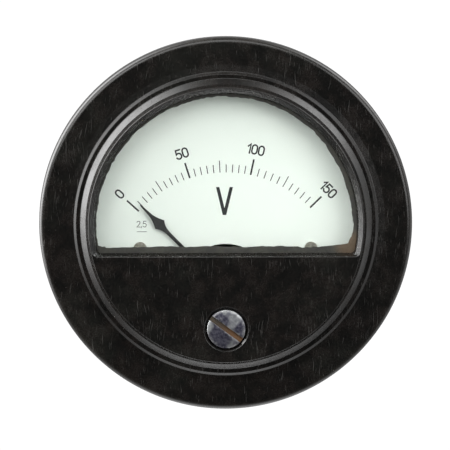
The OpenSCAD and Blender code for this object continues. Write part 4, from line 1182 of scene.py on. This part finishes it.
def make_nuts():
    """Hexagon terminal nuts, and the flat washers under them."""
    corner, bore, cut, flat = NUT_FLATS / math.sqrt(3), 2.55, 0.42, NUT_FLATS / 2
    fall = (corner - flat) * 0.9
    low, high = NUT_FRONT, NUT_BACK
    path = [Vector(p) for p in (
        (bore, low + cut), (bore + cut, low), (flat, low), (corner + 0.1, low + fall),
        (corner + 0.1, high - fall), (flat, high), (bore + cut, high), (bore, high - cut))]
    blank = turned_model(path + [path[0]], "brass", 72)
    bm = bmesh.new()
    take_in(bm, grow(nut_tree(), TERMINALS, "brass", {"Blank": blank}))
    bpy.data.objects.remove(blank)
    bmesh.ops.remove_doubles(bm, verts=bm.verts, dist=0.0005)
    piece("hex_nuts", bm, "meter", "brass", ["terminal_nuts"], smooth=25)
    bm = bmesh.new()
    disc = rounded([(WASHER_BORE, WASHER_FRONT, 0.05), (WASHER_R, WASHER_FRONT, 0.12),
                    (WASHER_R, NUT_FRONT, 0.12), (WASHER_BORE, NUT_FRONT, 0.05)], 3, 0.01)
    for x, _, z in TERMINALS:
        add_turned(bm, disc + [disc[0]], "brass", 72, (x, z))
    weld(bm)
    piece("flat_washers", bm, "meter", "brass", ["terminal_washers"])


# ---------------------------------------------------------------- windings and hairsprings

def spiral_tree():
    """Tree that winds a flat strip from a collet out to its fixed end."""
    tree, given, end = geometry_tree("wound_spiral", {
        "Turns": SPRING_TURNS, "Steps": 160, "Inner": SPRING_INNER, "Outer": SPRING_OUTER, "Hand": 1.0,
        "Strip": 0.12, "Front": 0.0, "Width": 0.4, "Pivot Z": PIVOT_Z})
    line = get(tree, "GeometryNodeMeshLine", {"Count": given["Steps"] + 1.0})
    share = get(tree, "GeometryNodeInputIndex") / given["Steps"]
    reach = share * (given["Outer"] - given["Inner"]) + given["Inner"]
    angle = (share - 1.0) * (given["Turns"] * math.tau) * given["Hand"] + math.pi / 2
    spot = join(tree, reach * angle.step("COSINE"), reach * angle.step("SINE"))
    points = get(tree, "GeometryNodeSetPosition", {"Geometry": line, "Position": spot})
    path = get(tree, "GeometryNodeMeshToCurve", {"Mesh": points})
    upright = get(tree, "GeometryNodeSetCurveNormal", {"Curve": path}, mode="Z_UP")
    section = get(tree, "GeometryNodeCurvePrimitiveQuadrilateral", {
        "Width": given["Strip"], "Height": given["Width"]})
    strip = get(tree, "GeometryNodeCurveToMesh", {
        "Curve": upright, "Profile Curve": section, "Fill Caps": True})
    middle = join(tree, y=given["Width"] * 0.5 + given["Front"], z=given["Pivot Z"])
    return close_geometry(given, end, moved(strip, middle, (math.pi / 2, 0.0, 0.0)))


def wind_up(spring, hand):
    """Work out each point's share of the coil's swing along the strip, all of it at the collet and none at the
    fixed end. The share is not kept.
    """
    for vert in spring.data.vertices:
        x, z = vert.co.x / MM, vert.co.z / MM - PIVOT_Z
        near = (math.hypot(x, z) - SPRING_INNER) / (SPRING_OUTER - SPRING_INNER)
        lap = (math.atan2(z, x) - math.pi / 2) / (math.tau * hand)
        whole = round((near - 1.0) * SPRING_TURNS - lap)
        min(1.0, max(0.0, 1.0 + (lap + whole) / SPRING_TURNS))


def make_hairsprings():
    """Front and rear hairsprings, between the staff and their fixed ends."""
    tree = spiral_tree()
    for name, node, front, hand in (("front_spiral", "front_hairspring", FRONT_SPRING_Y, 1.0),
                                    ("rear_spiral", "rear_hairspring", REAR_SPRING_Y, -1.0)):
        bm = bmesh.new()
        take_in(bm, grow(tree, [(0, 0, 0)], "spring_bronze", {"Front": front, "Hand": hand}))
        bmesh.ops.remove_doubles(bm, verts=bm.verts, dist=0.0002)
        bmesh.ops.recalc_face_normals(bm, faces=bm.faces)
        middle = (0.0, front * MM, PIVOT_Z * MM)
        fixed_end = (0.0, front * MM, (PIVOT_Z + SPRING_OUTER) * MM)
        wind_up(piece(name, bm, ("moving_coil", "meter", middle, fixed_end), "spring_bronze", [node]), hand)


def winding_tree():
    """Tree that winds round wire in a close helix along Y."""
    tree, given, end = geometry_tree("wound_wire", {
        "Radius": WOUND_R, "Front": 17.0, "Back": 27.0, "Wire": WIRE, "Centre X": 0.0, "Centre Z": RESISTOR_Z})
    run = given["Back"] - given["Front"]
    coil = get(tree, "GeometryNodeCurveSpiral", {
        "Resolution": 28, "Rotations": (run / given["Wire"]).step("FLOOR"), "Start Radius": given["Radius"],
        "End Radius": given["Radius"], "Height": run})
    section = get(tree, "GeometryNodeCurvePrimitiveCircle", {"Resolution": 6, "Radius": given["Wire"] * 0.5})
    wire = get(tree, "GeometryNodeCurveToMesh", {"Curve": coil, "Profile Curve": section, "Fill Caps": True})
    foot = join(tree, given["Centre X"], given["Front"], given["Centre Z"])
    return close_geometry(given, end, moved(wire, foot, (-math.pi / 2, 0.0, 0.0)))


def make_resistor_winding():
    """Resistance wire wound close on the bobbin, over its varnished under-layer."""
    low, high = (corner.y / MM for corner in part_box("resistor_winding"))
    bm = bmesh.new()
    take_in(bm, grow(winding_tree(), [(0, 0, 0)], "resistance_wire", {
        "Front": low + WIRE / 2, "Back": high - WIRE / 2}))
    first, last = low + 0.01, high - 0.01
    layer = [(BOBBIN_R, first), (UNDERLAYER_R, first), (UNDERLAYER_R, last), (BOBBIN_R, last), (BOBBIN_R, first)]
    add_turned(bm, layer, "resistance_wire", 48, (0, RESISTOR_Z))
    bmesh.ops.recalc_face_normals(bm, faces=bm.faces)
    piece("wound_resistor", bm, "meter", "resistance_wire", ["resistor_winding"])


# ---------------------------------------------------------------- studio

FLOOR_SIZE, FLOOR_Z = 2.2, -0.40
LAMP_SIZE = 0.60
LAMPS = {  # place and power
    "left_panel": ((-0.46, -0.75, 0.40), 4.0),
    "right_panel": ((0.52, -0.75, 0.22), 3.4),
    "top_panel": ((0.0, -0.65, 0.62), 2.6),
}
GLOWS = [  # direction, sharpness and strength
    ((-1.0, 0.10, 0.15), 10.0, 12.5),
    ((-0.72, 0.10, 0.72), 12.0, 11.0),
    ((0.70, 0.10, 0.70), 14.0, 7.0),
    ((1.0, 0.06, -0.20), 8.0, 1.4),
    ((0.0, 0.10, -1.0), 5.0, 3.0),
]
WHITE, WHITE_STRENGTH = (1.0, 1.0, 1.0, 1.0), 1.05
CAMERA_AZIMUTH, CAMERA_ELEVATION, CAMERA_DISTANCE = math.radians(-1.3), math.radians(4.9), 1.80
CAMERA_TARGET = Vector((-0.0002, FLANGE_Y * MM, -0.0003))
LENS, SENSOR = 632.5, 36.0


def make_floor():
    """Plain pale floor, well below the meter. Light passes it, so that it lights the rim from below."""
    bm = bmesh.new()
    bmesh.ops.create_grid(bm, x_segments=1, y_segments=1, size=FLOOR_SIZE)
    mesh = bpy.data.meshes.new("studio_floor")
    bm.to_mesh(mesh)
    bm.free()
    floor = bpy.data.objects.new("studio_floor", mesh)
    floor.location = (0, 0, FLOOR_Z)
    bpy.context.scene.collection.objects.link(floor)
    made = Finish("pale_floor", roughness=0.9, emission_color=WHITE, emission_strength=0.6)
    made.ground(noise_value(made.spot, 0.002, 2.0), (0.93, 0.93, 0.93), (0.95, 0.95, 0.95))
    made.wire("Base Color", made.colour)
    open_air = get(made.tree, "ShaderNodeBsdfTransparent")
    mesh.materials.append(made.by_ray("Is Camera Ray", open_air, made.plain))


def make_surroundings():
    """White surroundings for the camera. The meter is lit by soft patches, brightest to the left."""
    world = bpy.data.worlds.new("studio")
    bpy.context.scene.world = world
    world.use_nodes = True
    tree = world.node_tree
    tree.nodes.clear()
    direction = get(tree, "ShaderNodeTexCoord", output="Generated")
    total = step_up(split(direction)[1], -0.1, 0.6) * 0.35 + 0.015
    for aim, sharpness, strength in GLOWS:
        facing = get(tree, "ShaderNodeVectorMath", {0: direction, 1: Vector(aim).normalized()}, "Value",
                     operation="DOT_PRODUCT")
        total = total + facing.step("MAXIMUM", 0.0).step("POWER", sharpness) * strength
    seen = get(tree, "ShaderNodeLightPath", output="Is Camera Ray")
    strength = get(tree, "ShaderNodeMix", {"Factor": seen, 2: total, 3: WHITE_STRENGTH}, data_type="FLOAT")
    glow = get(tree, "ShaderNodeBackground", {"Color": WHITE, "Strength": strength})
    put(tree, "ShaderNodeOutputWorld", {"Surface": glow})


def make_lamps():
    """Three soft round panels in front, well off the dial's axis."""
    for name, (place, power) in LAMPS.items():
        light = bpy.data.lights.new(name, "AREA")
        light.shape = "DISK"
        light.size = LAMP_SIZE
        light.energy = power
        lamp = bpy.data.objects.new(name, light)
        lamp.location = place
        lamp.rotation_euler = (-Vector(place)).to_track_quat("-Z", "Y").to_euler()
        bpy.context.scene.collection.objects.link(lamp)


def make_camera():
    """Long lens a little above and to the left of the dial's axis."""
    lens = bpy.data.cameras.new("camera")
    camera = bpy.data.objects.new("camera", lens)
    bpy.context.scene.collection.objects.link(camera)
    level = math.cos(CAMERA_ELEVATION)
    way = Vector((math.sin(CAMERA_AZIMUTH) * level, -math.cos(CAMERA_AZIMUTH) * level,
                  math.sin(CAMERA_ELEVATION)))
    camera.location = CAMERA_TARGET + way * CAMERA_DISTANCE
    camera.rotation_euler = (-way).to_track_quat("-Z", "Y").to_euler()
    lens.sensor_width, lens.lens, lens.clip_start = SENSOR, LENS, 0.01
    bpy.context.scene.camera = camera
    bpy.context.scene.view_settings.view_transform = "Standard"


for make in (dress_nodes, make_cover, make_cement, make_adjuster, make_scale_print, make_pointer, make_rear_case,
             make_case_screws, make_studs, make_terminals, make_nuts, make_hairsprings, make_resistor_winding,
             make_floor, make_surroundings, make_lamps, make_camera):
    make()
